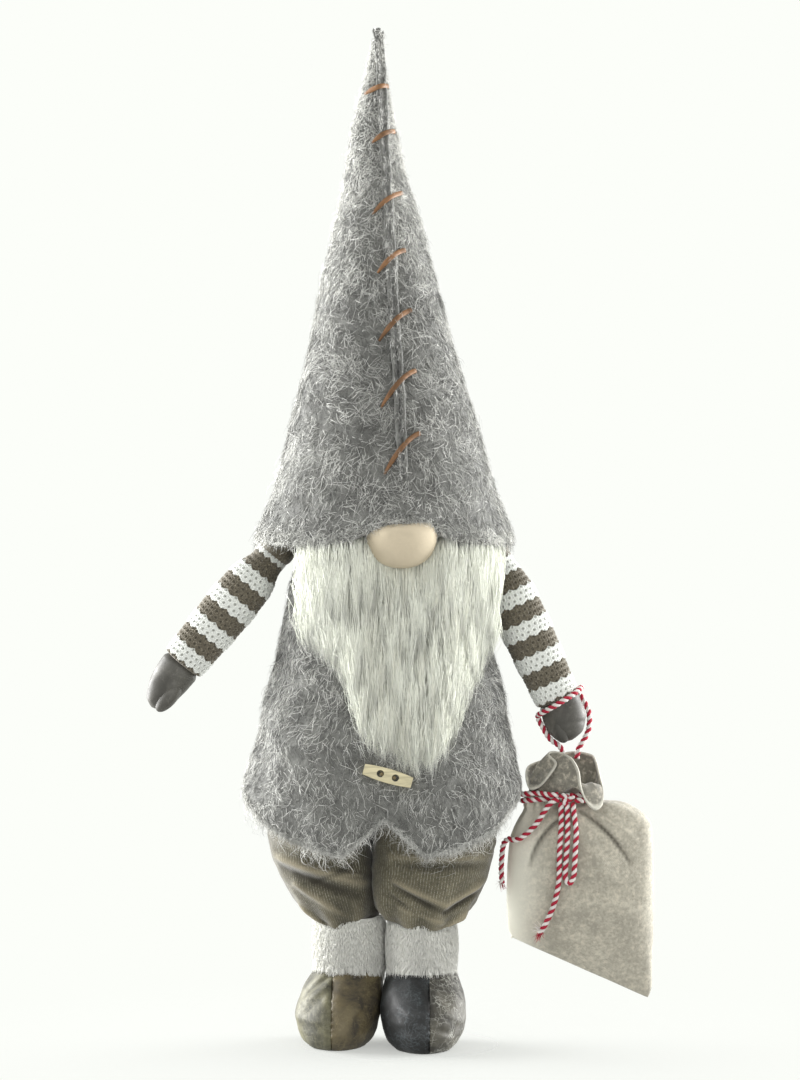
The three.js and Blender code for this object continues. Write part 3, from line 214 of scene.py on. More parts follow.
# Frayed ends: name, place, way they point, seed, colour, count and length of the fibres
FRAYS = {
    "front_tail": [
        ("front_tail_fray", (95.2, -1.9, 76), (-0.4, 0, -1), 3, "red", 26, 9),
        ("front_tail_fray_white", (95.6, -2.2, 78), (-1, -0.4, 0.3), 4, "white", 22, 8),
    ],
    "side_tail": [
        ("side_tail_fray", (69.5, 9.2, 109), (0.25, 0, -1), 5, "red", 18, 7),
        ("side_tail_fray_white", (69.4, 9.2, 110), (-0.5, -0.3, -1), 6, "white", 20, 7),
    ],
}

# Lace stitches: height, reach to the left and right of the seam, rise
LACES = [
    (649, 12, 5, 6), (616, 8.5, 7.5, 9), (571, 11, 10.5, 16), (531, 9.5, 10, 16.5),
    (488, 11, 12, 22), (446, 12, 12.5, 26), (403, 13, 13, 30),
]

# Soft pieces inside, the last ones on both sides
SIDE_SOFT = ("shoulder_tab", "arm_stuffing", "ankle_stuffing", "boot_weight")
INNER_SOFT = ["head_stuffing", "hat_filling", "torso_stuffing", "sack_filling"]
INNER_SOFT += [f"{side}_{part}" for side in ARMS for part in SIDE_SOFT]

# View: distance of the camera from the figure's middle plane, half the width seen there, height
VIEW_AWAY, VIEW_HALF, VIEW_UP = 2200.0, 272.0, 342.0
# Lamps: name, place and size in metres, power in watts
LAMPS = [
    ("key", (-0.5, -1.9, 1.4), 0.9, 6.5), ("fill", (0.5, -1.8, 0.12), 0.9, 5.5),
    ("left_rim", (-1.4, 0.56, 0.5), 1.1, 80.0), ("right_rim", (1.4, 0.6, 0.5), 1.1, 60.0),
]
LAMP_AIM = (0, 0, 0.3)
WORLD_LIGHT, BACKDROP = 0.75, (252, 254, 249)
# Floor, in metres: its radius, how far its shade reaches, how the shade fades and its strength
FLOOR_RADIUS, SHADE_REACH, SHADE_FADE, SHADE_STRENGTH = 0.75, 0.36, 1.8, 0.62

# Leathers of the boots: base, shade, worn, share of wear, share of cracks, relief
LEATHERS = {
    "olive": ((104, 101, 76), (58, 57, 45), (160, 158, 134), 0.45, 0.25, 0.5),
    "brown": ((98, 88, 62), (56, 50, 40), (150, 138, 100), 0.5, 0.3, 0.5),
    "grey": ((88, 85, 74), (52, 50, 44), (190, 190, 180), 0.4, 0.7, 0.6),
    "slate": ((24, 26, 27), (8, 9, 9), (104, 114, 118), 0.75, 0.3, 0.6),
}
# Panels of each boot: which panel, its leather, and whether it is the right half of the boot
BOOT_PANELS = {
    "left": [("outer", "olive", False), ("inner", "brown", True)],
    "right": [("outer", "grey", True), ("inner", "slate", False)],
}


# Colours are written as the eye reads them and stored as light
def srgb(*levels):
    shares = [level / 255 for level in levels]
    return tuple(s / 12.92 if s <= 0.04045 else ((s + 0.055) / 1.055) ** 2.4 for s in shares)


def darker(colour, share):
    return tuple(level * share for level in colour[:3])


def colour_field(label, text, *levels):
    return bpy.props.FloatVectorProperty(
        name=label, description=text, subtype="COLOR", size=3, min=0, max=1, default=srgb(*levels)
    )


def length_field(label, text, millimetres):
    return bpy.props.FloatProperty(
        name=label, description=text, unit="LENGTH", subtype="DISTANCE", min=0, default=millimetres * MM
    )


def count_field(label, text, count):
    return bpy.props.IntProperty(name=label, description=text, min=100, default=count)


class GnomeFurSettings(bpy.types.PropertyGroup):
    """Lengths and counts of the fibres."""

    felt_fibre: length_field("Felt fibre", "Length of a loose fibre on hat and coat", 8)
    felt_count: count_field("Felt fibres", "Fibres on each half of hat and coat", 14400)
    beard_fibre: length_field("Beard fibre", "Length of a beard hair", 52)
    beard_count: count_field("Beard hairs", "Hairs in each layer of the beard", 7900)
    cuff_fibre: length_field("Cuff pile", "Length of the pile on the boot cuffs", 5.5)
    cuff_count: count_field("Cuff pile count", "Fibres on each boot cuff", 7600)


class GnomeColourSettings(bpy.types.PropertyGroup):
    """Colours of the cloths."""

    felt_dark: colour_field("Felt, dark", "Darker fibres of hat and coat", 58, 58, 54)
    felt_light: colour_field("Felt, light", "Paler fibres of hat and coat", 142, 143, 137)
    felt_fibre: colour_field("Felt fibre", "Loose fibres of hat and coat", 244, 244, 238)
    beard: colour_field("Beard", "Ivory hair", 248, 251, 238)
    beard_streak: colour_field("Beard streak", "Darker hair in the middle", 214, 203, 172)
    nose: colour_field("Nose", "Smooth velour", 206, 193, 166)
    knit_brown: colour_field("Knit, brown", "Darker stripes of the sleeves", 118, 110, 92)
    knit_white: colour_field("Knit, white", "Paler stripes of the sleeves", 244, 247, 240)
    mitten: colour_field("Mitten", "Soft grey brown leather", 84, 82, 75)
    trouser: colour_field("Trousers", "Fine striped weave", 120, 115, 93)
    cuff: colour_field("Boot cuff", "White short pile", 246, 246, 238)
    linen: colour_field("Linen", "Cloth of the sack", 198, 193, 175)
    twine_red: colour_field("Twine, red", "Red strand", 176, 32, 56)
    twine_white: colour_field("Twine, white", "White strand", 238, 234, 228)
    lace: colour_field("Lace", "Tan leather stitches", 138, 98, 60)
    wood: colour_field("Toggle", "Pale wood", 222, 212, 172)


def settings():
    return bpy.context.scene.gnome_fur, bpy.context.scene.gnome_colours


# Shape helpers
def ramp(value, start, end):
    """Nought up to the start, one past the end, and even between them."""
    return np.clip((value - start) / (end - start), 0, 1)


def hill(value, middle, width):
    """One in the middle, falling softly to nought on both sides."""
    return np.exp(-(((value - middle) / width) ** 2))


def points_of(x, y, z):
    return np.stack(np.broadcast_arrays(x, y, z), axis=1)


def column(rows, share, index, spread=0.02):
    """A column of a table read at a share of the way down it, with its corners rounded."""
    taps = [np.interp(share + off * spread, rows[:, 0], rows[:, index]) for off in (-1, -0.5, 0, 0.5, 1)]
    return sum(taps) / len(taps)


def ripple(x, y, z, size, seed):
    """Smooth unevenness from about minus one to one whose lumps are about size across."""
    waves = 6
    rng = np.random.default_rng(seed)
    total = 0
    for _ in range(waves):
        way = rng.normal(size=3)
        way *= TURN / (size * np.linalg.norm(way) * rng.uniform(0.7, 1.6))
        total = total + np.sin(x * way[0] + y * way[1] + z * way[2] + rng.uniform(0, TURN))
    return total / 3.2


def crease(across, up, start, end, width, bow=0.0):
    """Nearness, from nought to one, to a line on a cloth laid flat, which may bow to its left."""
    run = np.array(end, float) - np.array(start, float)
    way = ((across - start[0]) * run[0] + (up - start[1]) * run[1]) / (run @ run)
    way = np.clip(way, 0, 1)
    swing = 4 * bow * way * (1 - way) / np.hypot(*run)
    off_across = across - start[0] - way * run[0] + swing * run[1]
    off = np.hypot(off_across, up - start[1] - way * run[1] - swing * run[0])
    fading = np.sin(np.pi * np.clip(way * 0.86 + 0.07, 0, 1)) ** 0.5
    return hill(off, 0, width) * fading


def arm_point(arm, along, across, depth):
    """Place beside an arm: along it from its pivot, outwards across it, and back from it."""
    lean = math.radians(arm["angle"])
    x, y, z = arm["pivot"]
    out = arm["side"] * (along * math.sin(lean) + across * math.cos(lean))
    return x + out, y + depth, z - along * math.cos(lean) + across * math.sin(lean)


def arm_ways(arm, first, last):
    """Directions of an arm as it hangs or is raised and swings between two angles."""
    for raised in (0, ARM_RAISE):
        lean = math.radians(arm["angle"] + raised)
        for swing in np.radians(np.linspace(first, last, 7)):
            low = -math.cos(lean)
            yield np.array([arm["side"] * math.sin(lean), low * math.sin(swing), low * math.cos(swing)])


def from_arm(points, arm, way):
    """Distance of points from the middle line of an arm that points one way."""
    start = points - np.array(arm["pivot"])
    along = np.clip(start @ way, 0, arm["length"])
    return np.linalg.norm(start - along[..., None] * way, axis=-1)


def arm_gap(points):
    """Least distance of points from the arms over all their moves."""
    gaps = [from_arm(points, arm, way) for arm in ARMS.values() for way in arm_ways(arm, *ARM_SWING)]
    return np.min(gaps, axis=0)


def sack_gap(points):
    """Least distance of points from the sack's left side while it swings forwards from its carry loop."""
    back, low = points[:, 1] - SACK_PIVOT[0], points[:, 2] - SACK_PIVOT[1]
    gaps = []
    for swing in np.radians(np.linspace(0, SACK_SWING, 6)):
        depth = back * math.cos(swing) - low * math.sin(swing)
        height = SACK_PIVOT[1] + back * math.sin(swing) + low * math.cos(swing)
        side = np.interp(height, SACK_ROWS[:, 2], SACK_ROWS[:, 1])
        half = np.interp(height, SACK_ROWS[:, 2], SACK_ROWS[:, 5])
        past = [side - points[:, 0], np.abs(depth) - half, height - SACK_PIVOT[1]]
        gaps.append(np.linalg.norm(np.maximum(past, 0), axis=0))
    return np.min(gaps, axis=0)


def clear_of_arm(points):
    """Draw points back from the room that the right sleeve needs when it swings forward."""
    room = SLEEVE_ROWS[:, 1].max() + 2.2
    for way in arm_ways(ARMS["right"], 0, ARM_SWING[1] + 2):
        gap = from_arm(points, ARMS["right"], way)
        points[..., 0] -= np.where(gap < room, 1.25 * (room - gap), 0)
    return points


def spline(points, count):
    """Even places along a smooth line through the points, and its length."""
    knots = np.array(points, float)
    knots = np.vstack([2 * knots[0] - knots[1], knots, 2 * knots[-1] - knots[-2]])
    t = np.linspace(0, 1, 24, endpoint=False)[:, None]
    fine = []
    for k in range(1, len(knots) - 2):
        a, b, c, d = knots[k - 1:k + 3]
        curve = 2 * b + (c - a) * t + (2 * a - 5 * b + 4 * c - d) * t**2 + (3 * b - a - 3 * c + d) * t**3
        fine.append(0.5 * curve)
    fine = np.vstack([*fine, knots[-2:-1]])
    run = np.concatenate([[0], np.cumsum(np.linalg.norm(np.diff(fine, axis=0), axis=1))])
    at = np.linspace(0, run[-1], count)
    return np.stack([np.interp(at, run, fine[:, axis]) for axis in range(3)], axis=1), run[-1]


def unit(vectors):
    return vectors / np.maximum(np.linalg.norm(vectors, axis=-1, keepdims=True), 1e-9)


# Modelling helpers
def choose(piece):
    bpy.ops.object.select_all(action="DESELECT")
    piece.select_set(True)
    bpy.context.view_layer.objects.active = piece


def primitive(name, action, **values):
    """A new primitive, alone selected, under its piece's name."""
    bpy.ops.object.select_all(action="DESELECT")
    action(**values)
    piece = bpy.context.object
    piece.name = piece.data.name = name
    return piece


def read_points(piece):
    flat = np.empty(len(piece.data.vertices) * 3)
    piece.data.vertices.foreach_get("co", flat)
    return flat.reshape(-1, 3)


def in_edit(action, **values):
    bpy.ops.object.mode_set(mode="EDIT")
    bpy.ops.mesh.select_all(action="SELECT")
    action(**values)
    bpy.ops.object.mode_set(mode="OBJECT")


def face_outward():
    in_edit(bpy.ops.mesh.normals_make_consistent, inside=False)


def merge_doubles():
    in_edit(bpy.ops.mesh.remove_doubles, threshold=0.00001)


def smooth_by_angle():
    bpy.ops.object.shade_smooth_by_angle(angle=math.radians(30))


def apply_modifier(piece, kind, **values):
    choose(piece)
    modifier = piece.modifiers.new(kind.title(), kind)
    for name, value in values.items():
        setattr(modifier, name, value)
    bpy.ops.object.modifier_apply(modifier=modifier.name)


def paint(piece, name, values):
    layer = piece.data.attributes.new(name, "FLOAT", "POINT")
    layer.data.foreach_set("value", np.asarray(values, np.float32).ravel())


def formed(name, columns, rows, surface, marks=None, wall=0, weld=True):
    """A grid whose points are carried onto a surface of two shares, around and up."""
    cells = dict(x_subdivisions=columns, y_subdivisions=rows, size=2)
    piece = primitive(name, bpy.ops.mesh.primitive_grid_add, **cells)
    flat = read_points(piece)
    u, v = (flat[:, 0] + 1) / 2, (flat[:, 1] + 1) / 2
    piece.data.vertices.foreach_set("co", (points_of(*surface(u, v)) * MM).ravel())
    for label, values in (marks(u, v) if marks else {}).items():
        paint(piece, label, values)
    if weld:
        merge_doubles()
    bpy.ops.object.shade_smooth()
    if wall:
        apply_modifier(piece, "SOLIDIFY", thickness=wall * MM, offset=-1)
    return piece


def from_node(name, node, voxel=0, smoothing=0):
    """A new piece that starts as a copy of a node's mesh."""
    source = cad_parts[node]
    piece = bpy.data.objects.new(name, source.data.copy())
    bpy.context.collection.objects.link(piece)
    piece.matrix_world = source.matrix_world
    choose(piece)
    bpy.ops.object.transform_apply(location=True, rotation=True, scale=True)
    piece.data.name = name
    piece.data.materials.clear()
    merge_doubles()
    if voxel:
        apply_modifier(piece, "REMESH", mode="VOXEL", voxel_size=voxel * MM)
        apply_modifier(piece, "SMOOTH", iterations=smoothing, factor=0.5)
    bpy.ops.object.shade_smooth()
    return piece


def tube(name, centres, hints, wide, thick, sides):
    """A closed rod, wide along the side of its line and thick along the hint."""
    centres = np.asarray(centres, float)
    rows = len(centres) - 1
    forward = unit(np.gradient(centres, axis=0))
    hints = np.broadcast_to(hints, centres.shape)
    up = unit(hints - forward * np.sum(hints * forward, axis=1, keepdims=True))
    side = np.cross(forward, up)
    wide = np.broadcast_to(wide, rows + 1).astype(float).copy()
    thick = np.broadcast_to(thick, rows + 1).astype(float).copy()
    wide[[0, -1]] = thick[[0, -1]] = 0

    def surface(u, v):
        at = np.rint(v * rows).astype(int)
        angle = TURN * u
        place = centres[at] + side[at] * (wide[at] * np.cos(angle))[:, None]
        place = place + up[at] * (thick[at] * np.sin(angle))[:, None]
        return place.T

    piece = formed(name, sides, rows, surface)
    face_outward()
    return piece


def join(name, pieces):
    choose(pieces[0])
    for piece in pieces:
        piece.select_set(True)
    bpy.ops.object.join()
    pieces[0].name = pieces[0].data.name = name
    return pieces[0]


def settle(piece, body, slot, finish, *nodes):
    """Give a piece its finish and its body, and hide the nodes it stands for; its slot is not used."""
    if finish:
        piece.data.materials.append(finish)
    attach(piece, body)
    if nodes:
        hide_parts(*nodes)
    return piece


def dress(node, finish):
    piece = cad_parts[node]
    piece.data.materials.clear()
    piece.data.materials.append(finish)


# Fibres: three sided hairs that taper to a point
def hairs(name, paths, radius, tones):
    count, steps, _ = paths.shape
    rng = np.random.default_rng(len(name) + count)
    rings = steps - 1
    forward = unit(np.diff(paths, axis=1))
    side = unit(np.cross(forward[:, :1], rng.normal(size=(count, 1, 3))))
    side = unit(side - forward * np.sum(side * forward, axis=2, keepdims=True))
    other = np.cross(forward, side)
    taper = np.linspace(1, 0.45, rings)[None, :, None] * np.asarray(radius).reshape(-1, 1, 1)
    points = np.empty((count, rings * 3 + 1, 3))
    for k in range(3):
        angle = k * TURN / 3
        points[:, k:rings * 3:3] = paths[:, :-1] + taper * (side * math.cos(angle) + other * math.sin(angle))
    points[:, -1] = paths[:, -1]
    piece = triangles(name, points, hair_faces(rings))
    paint(piece, "tone", np.repeat(np.asarray(tones, float), rings * 3 + 1))
    choose(piece)
    bpy.ops.object.shade_smooth()
    return piece


def hair_faces(rings):
    """Faces of one hair: its closed root, its sides and its point."""
    faces = [(0, 2, 1)]
    for ring in range(rings - 1):
        for k in range(3):
            a, b = ring * 3 + k, ring * 3 + (k + 1) % 3
            faces += [(a, b, b + 3), (a, b + 3, a + 3)]
    last = (rings - 1) * 3
    faces += [(last + k, last + (k + 1) % 3, rings * 3) for k in range(3)]
    return np.array(faces)


def triangles(name, points, faces):
    """A mesh of many like shapes, from the points of each and the faces of one."""
    count, size, _ = points.shape
    faces = faces[None] + np.arange(count)[:, None, None] * size
    mesh = bpy.data.meshes.new(name)
    mesh.vertices.add(count * size)
    mesh.vertices.foreach_set("co", (points * MM).ravel())
    total = faces.shape[0] * faces.shape[1]
    mesh.loops.add(total * 3)
    mesh.loops.foreach_set("vertex_index", faces.astype(np.int32).ravel())
    mesh.polygons.add(total)
    mesh.polygons.foreach_set("loop_start", np.arange(0, total * 3, 3, dtype=np.int32))
    mesh.update(calc_edges=True)
    piece = bpy.data.objects.new(name, mesh)
    bpy.context.collection.objects.link(piece)
    return piece


def frame_at(surface, u, v):
    """Place, direction around, direction up and outward direction of points on a surface."""
    step = 0.002
    here = points_of(*surface(u, v))
    around = unit(points_of(*surface(u + step, v)) - here)
    low = points_of(*surface(u, np.clip(v - step, 0, 1)))
    high = points_of(*surface(u, np.clip(v + step, 0, 1)))
    up = unit(high - low)
    return here, around, up, unit(np.cross(around, up))


def felt_hairs(name, surface, spots, seed, length, hang=0.25, lift=1.6, steps=3, curl=0.2, paler=0.0):
    """Loose felt fibres that curl over a surface in slow swirls and lie flat where an arm moves past."""
    rng = np.random.default_rng(seed)
    u, v = spots(rng)
    here, around, up, out = frame_at(surface, u, v)
    count, pattern = len(u), seed % 10
    swirl = 0.25 * TURN * ripple(*here.T, 46, pattern + 7) + 0.2 * TURN * ripple(*here.T, 15, pattern + 8)
    swirl = swirl - TURN / 4 + rng.normal(0, 0.55, count)
    way = unit(around * np.cos(swirl)[:, None] + up * np.sin(swirl)[:, None] - up * hang)
    cross = np.cross(out, way)
    free = np.clip((arm_gap(here) - 16) / 6, 0.12, 1) * np.clip((sack_gap(here) - 1) / 10, 0.2, 1)
    reach = np.minimum(rng.gamma(4, length / 4, count), 2.2 * length)
    reach = free * np.minimum(reach, 2 + 0.3 * np.hypot(here[:, 0] - BODY_X, here[:, 1] - BODY_Y))
    bend = rng.normal(0, curl, count) * reach
    wave = rng.normal(0, 0.4 * curl, count) * reach
    rise = free * rng.uniform(0.2, lift, count)
    tip = free * rng.exponential(0.45, count) * (rng.random(count) < 0.4)
    t = np.linspace(0, 1, steps)[None, :, None]
    paths = here[:, None] + way[:, None] * reach[:, None, None] * t
    sideways = bend[:, None, None] * np.sin(np.pi * t) + wave[:, None, None] * np.sin(TURN * t)
    outward = rise[:, None, None] * np.sin(np.pi * t * 0.9) + tip[:, None, None] * t * 1.6
    paths = paths + cross[:, None] * sideways + out[:, None] * outward
    # Painted light: toward the hat's point, where the backlight falls, more fibres are bright and all are
    # paler
    painted_light_at_point = 0.36 * ramp(here[:, 2], 500, 610)
    bright = rng.random(count) < 0.34 + painted_light_at_point + 0.32 * ripple(*here.T, 24, pattern + 9)
    tones = np.where(bright, rng.uniform(0.76, 1.0, count), rng.uniform(0, 0.34, count))
    tones = np.clip(tones + paler + 0.6 * painted_light_at_point, 0, 1)
    return hairs(name, paths, rng.uniform(0.09, 0.155, count) + 0.085 * bright, tones)


def grow_felt(rows):
    """Grow one piece of felt fibres for each row."""
    length = settings()[0].felt_fibre / MM
    for name, surface, spots, seed, share, finish, form in rows:
        piece = felt_hairs(name, surface, spots, seed, length * share, **form)
        settle(piece, "torso", "grey_felt", bpy.data.materials[finish])


# Node helpers
def feed(tree, node, feeds):
    """Set the inputs of a node, or link them where a socket is given."""
    for name, value in feeds.items():
        socket = node.inputs[name]
        if isinstance(value, bpy.types.NodeSocket):
            tree.links.new(value, socket)
        elif socket.type == "RGBA":
            socket.default_value = (*value[:3], 1)
        else:
            socket.default_value = value
    return node


def add(tree, kind, feeds=None, **values):
    node = tree.nodes.new("ShaderNode" + kind)
    for name, value in values.items():
        setattr(node, name, value)
    return feed(tree, node, feeds or {})


def math_node(tree, operation, *values):
    return add(tree, "Math", dict(enumerate(values)), operation=operation).outputs[0]


def times(tree, *values):
    return math_node(tree, "MULTIPLY", *values)


def blend_colour(tree, share, first, second):
    return add(tree, "MixRGB", {"Fac": share, "Color1": first, "Color2": second}).outputs[0]


def object_place(tree):
    return add(tree, "TexCoord").outputs["Object"]


def painted(tree, name):
    return add(tree, "Attribute", attribute_name=name).outputs["Fac"]


def noise(tree, where, scale, detail=3, rough=0.55, warp=0.0):
    feeds = {"Vector": where, "Scale": scale, "Detail": detail, "Roughness": rough, "Distortion": warp}
    return add(tree, "TexNoise", feeds).outputs["Fac"]


def ranged(tree, value, low, high, out_low=0.0, out_high=1.0):
    feeds = {"Value": value, "From Min": low, "From Max": high, "To Min": out_low, "To Max": out_high}
    return add(tree, "MapRange", feeds).outputs["Result"]


# Effects that more than one material uses, and the grey that their colours start from
GREY = (0.8, 0.8, 0.8, 1)


def group(name, inputs, outputs):
    """A node group with its named inputs and their values, and its named outputs."""
    tree = bpy.data.node_groups.new(name, "ShaderNodeTree")
    for label, value in inputs.items():
        kind = "NodeSocketFloat" if np.isscalar(value) else "NodeSocketColor"
        tree.interface.new_socket(name=label, in_out="INPUT", socket_type=kind).default_value = value
    for label in outputs:
        kind = "NodeSocketColor" if label == "Color" else "NodeSocketFloat"
        tree.interface.new_socket(name=label, in_out="OUTPUT", socket_type=kind)
    return tree, tree.nodes.new("NodeGroupInput").outputs, tree.nodes.new("NodeGroupOutput")


def place_group(tree, name, feeds):
    node = tree.nodes.new("ShaderNodeGroup")
    node.node_tree = bpy.data.node_groups[name]
    return dict(feed(tree, node, feeds).outputs.items())


def fibre_tones_group():
    """Two tones of fibre that mingle in soft patches and fine streaks."""
    inputs = {"Dark": GREY, "Light": GREY, "Patch": 80.0, "Streak": 700.0}
    tree, given, made = group("Fibre tones", inputs, ["Color", "Height"])
    where = object_place(tree)
    patch = noise(tree, where, given["Patch"], 3, 0.6, 1.2)
    streak = noise(tree, where, given["Streak"], 4, 0.7, 1.6)
    share = math_node(tree, "MULTIPLY_ADD", patch, 0.7, times(tree, streak, 0.7))
    colour = blend_colour(tree, ranged(tree, share, 0.48, 0.92), given["Dark"], given["Light"])
    feed(tree, made, {"Color": colour, "Height": streak})


def weave_group():
    """Threads that cross along the piece's own map, with slubs and pale flecks."""
    inputs = {"Thread": GREY, "Gap": GREY, "Across": 200.0, "Up": 200.0, "Slub": 0.35, "Line": 0.0}
    tree, given, made = group("Woven cloth", inputs, ["Color", "Height"])
    flat = add(tree, "SeparateXYZ", {0: add(tree, "TexCoord").outputs["UV"]})
    where = object_place(tree)
    wander = noise(tree, where, 160.0)
    warp = math_node(tree, "SINE", math_node(tree, "MULTIPLY_ADD", flat.outputs[0], given["Across"], wander))
    weft = math_node(tree, "SINE", math_node(tree, "MULTIPLY_ADD", flat.outputs[1], given["Up"], wander))
    height = math_node(tree, "MULTIPLY_ADD", times(tree, warp, weft), 0.5, 0.5)
    slub = ranged(tree, noise(tree, where, 420.0, 4, 0.7), 0.38, 0.66)
    share = math_node(tree, "MULTIPLY_ADD", slub, given["Slub"], times(tree, height, 0.5))
    colour = blend_colour(tree, share, given["Gap"], given["Thread"])
    line = times(tree, ranged(tree, warp, 0.7, 0.98), given["Line"])
    broken = times(tree, line, ranged(tree, noise(tree, where, 900.0, 2), 0.4, 0.6))
    pale = srgb(206, 200, 182)
    feed(tree, made, {"Color": blend_colour(tree, broken, colour, pale), "Height": height})


def leather_group():
    """Soft worn leather: clouds of tone, fine grain, and pale cracks where it has been bent."""
    inputs = {"Base": GREY, "Shade": GREY, "Worn": GREY, "Wear": 0.3, "Cracks": 0.0}
    tree, given, made = group("Worn leather", inputs, ["Color", "Roughness", "Height"])
    where = object_place(tree)
    cloud = ranged(tree, noise(tree, where, 42.0, 4, 0.65, 0.8), 0.4, 0.62)
    colour = blend_colour(tree, cloud, given["Shade"], given["Base"])
    drift = ranged(tree, noise(tree, where, 85.0, 3, 0.6, 1.2), 0.5, 0.68)
    speck = ranged(tree, noise(tree, where, 520.0, 5, 0.75, 0.4), 0.5, 0.68)
    worn = times(tree, times(tree, speck, drift), given["Wear"])
    bent = add(tree, "TexNoise", {"Vector": where, "Scale": 90.0, "Detail": 3.0}).outputs["Color"]
    shifted = add(tree, "VectorMath", {0: bent, 1: (0.02, 0.02, 0.02), 2: where}, operation="MULTIPLY_ADD")
    feeds = {"Vector": shifted.outputs[0], "Scale": 210.0}
    cells = add(tree, "TexVoronoi", feeds, feature="DISTANCE_TO_EDGE")
    crack = ranged(tree, cells.outputs["Distance"], 0.0, 0.09, 1.0, 0.0)
    crack = times(tree, crack, ranged(tree, noise(tree, where, 70.0, 2), 0.42, 0.6))
    crack = times(tree, crack, given["Cracks"])
    pale = math_node(tree, "MAXIMUM", worn, crack)
    grain = noise(tree, where, 1100.0, 3, 0.6)
    feed(tree, made, {
        "Color": blend_colour(tree, pale, colour, given["Worn"]),
        "Roughness": ranged(tree, cloud, 0.0, 1.0, 0.72, 0.52),
        "Height": math_node(tree, "MULTIPLY_ADD", crack, 0.8, grain),
    })


# Materials
def material(name, colour, rough=0.85, bump=0.3, distance=0.4, **sockets):
    """A surface of one colour, or of the colour, roughness and height that a function of its tree gives."""
    made = bpy.data.materials.new(name)
    made.use_nodes = True
    tree = made.node_tree
    surface = tree.nodes["Principled BSDF"]
    given = colour(tree) if callable(colour) else {"Color": colour}
    height = given.pop("Height", None)
    values = {"Roughness": rough, "Base Color": given.pop("Color"), **given}
    values.update({label.replace("_", " "): value for label, value in sockets.items()})
    feed(tree, surface, values)
    if height:
        feeds = {"Height": height, "Strength": bump, "Distance": distance * MM}
        feed(tree, surface, {"Normal": add(tree, "Bump", feeds).outputs["Normal"]})
    return made


def fibre_cloth(name, dark, light, patch=80.0, streak=700.0, **values):
    feeds = {"Dark": dark, "Light": light, "Patch": patch, "Streak": streak}
    return material(name, lambda tree: place_group(tree, "Fibre tones", feeds), **values)


def hair_cloth(name, dark, light, **values):
    def colour(tree):
        return {"Color": blend_colour(tree, painted(tree, "tone"), dark, light)}

    return material(name, colour, **values)


def leather(name, base, shade, worn, wear, cracks, **values):
    feeds = {"Base": base, "Shade": shade, "Worn": worn, "Wear": wear, "Cracks": cracks}
    return material(name, lambda tree: place_group(tree, "Worn leather", feeds), **values)


def build_felt():
    """The felt that hat and coat share, and its fibres."""
    _, colours = settings()
    felt_form = dict(bump=0.8, distance=0.9, Sheen_Weight=0.5, Sheen_Roughness=0.5)
    fibre_cloth("Grey felt", colours.felt_dark, colours.felt_light, **felt_form)
    hair_cloth("Felt fibres", darker(colours.felt_dark, 0.5), colours.felt_fibre, rough=0.7)
    hair_cloth("Pale felt fibres", colours.felt_light, colours.felt_fibre, rough=0.7)


# Surfaces of the figure
def hat_half(z):
    return HAT_WIDTH / 2 * column(HAT_ROWS, (z - BRIM_Z) / HAT_HEIGHT, 1)


def hat_depth(z):
    share = ramp(z, BRIM_Z, HAT_TOP)
    return hat_half(z) * (HAT_DEPTH / HAT_WIDTH * (1 - share) + share)


def hat_x(z):
    return BODY_X + column(HAT_ROWS, (z - BRIM_Z) / HAT_HEIGHT, 2)


def over_nose(x):
    """Nearness to the nose, where the brim and the top of the beard rise."""
    return hill(x, BRIM_LIFT_X, BRIM_LIFT_SPREAD)


def hat_surface(u, v):
    angle = TURN * u
    level = BRIM_Z + v * HAT_HEIGHT
    side = hat_x(level) + hat_half(level) * np.cos(angle)
    nose = over_nose(side) * (np.sin(angle) < 0)
    over_arm = hill(side, BRIM_ARM_X, BRIM_ARM_SPREAD)
    z = level + BRIM_LIFT * nose * ramp(v, 1 / 4, 0) + BRIM_ARM_LIFT * over_arm * ramp(v, 1 / 12, 0)
    x, y = hat_half(z) * np.cos(angle), hat_depth(z) * np.sin(angle)
    lump = 1 + (0.9 * ripple(x, y, z, 55, 3) + 0.4 * ripple(x, y, z, 18, 4)) / np.maximum(hat_half(z), 12)
    y = y * lump - NOSE_BULGE * nose * ramp(v, 1 / 7, 0)
    narrow = 1 - 0.3 * ramp(v, 0.955, 1)
    return hat_x(z) + x * lump * narrow, BODY_Y + y, z + 0.8 * ripple(x, y, 0 * z, 40, 5) * (1 - v)


def hat_front(x, z):
    off = np.clip(np.abs(x - hat_x(z)) / hat_half(z), 0, 0.99)
    return BODY_Y - hat_depth(z) * np.sqrt(1 - off**2)


def seam_x(z):
    return SEAM_LOW_X + (z - SEAM_LOW_Z) / (HAT_TOP - SEAM_LOW_Z) * (hat_x(HAT_TOP) - SEAM_LOW_X)


def coat_half(z):
    return COAT_WIDTH / 2 * column(COAT_ROWS, (NECK_Z - z) / COAT_LENGTH, 1)


def coat_depth(z):
    share = ramp(z, NECK_Z, NECK_Z - COAT_LENGTH)
    return coat_half(z) * (COAT_FLAT[0] * (1 - share) + COAT_FLAT[1] * share)


def hem_z(angle):
    """Height of the hem, which drops in front and behind and is notched in front."""
    low = NECK_Z - COAT_LENGTH - HEM_DROP
    hem = low + HEM_DROP * (1 - np.abs(np.sin(angle)))
    x = BODY_X + COAT_WIDTH / 2 * np.cos(angle)
    notch = low + NOTCH_HEIGHT - NOTCH_SLOPE * np.abs(x - NOTCH_X)
    return np.where(np.sin(angle) < 0, np.maximum(hem, notch), hem)


def coat_surface(u, v):
    angle = TURN * u
    z = hem_z(angle) * (1 - v) + NECK_Z * v
    x, y = coat_half(z) * np.cos(angle), coat_depth(z) * np.sin(angle)
    lump = 1 + (1.1 * ripple(x, y, z, 60, 13) + 0.4 * ripple(x, y, z, 20, 14)) / 60
    return BODY_X + x * lump, BODY_Y + y * lump, z


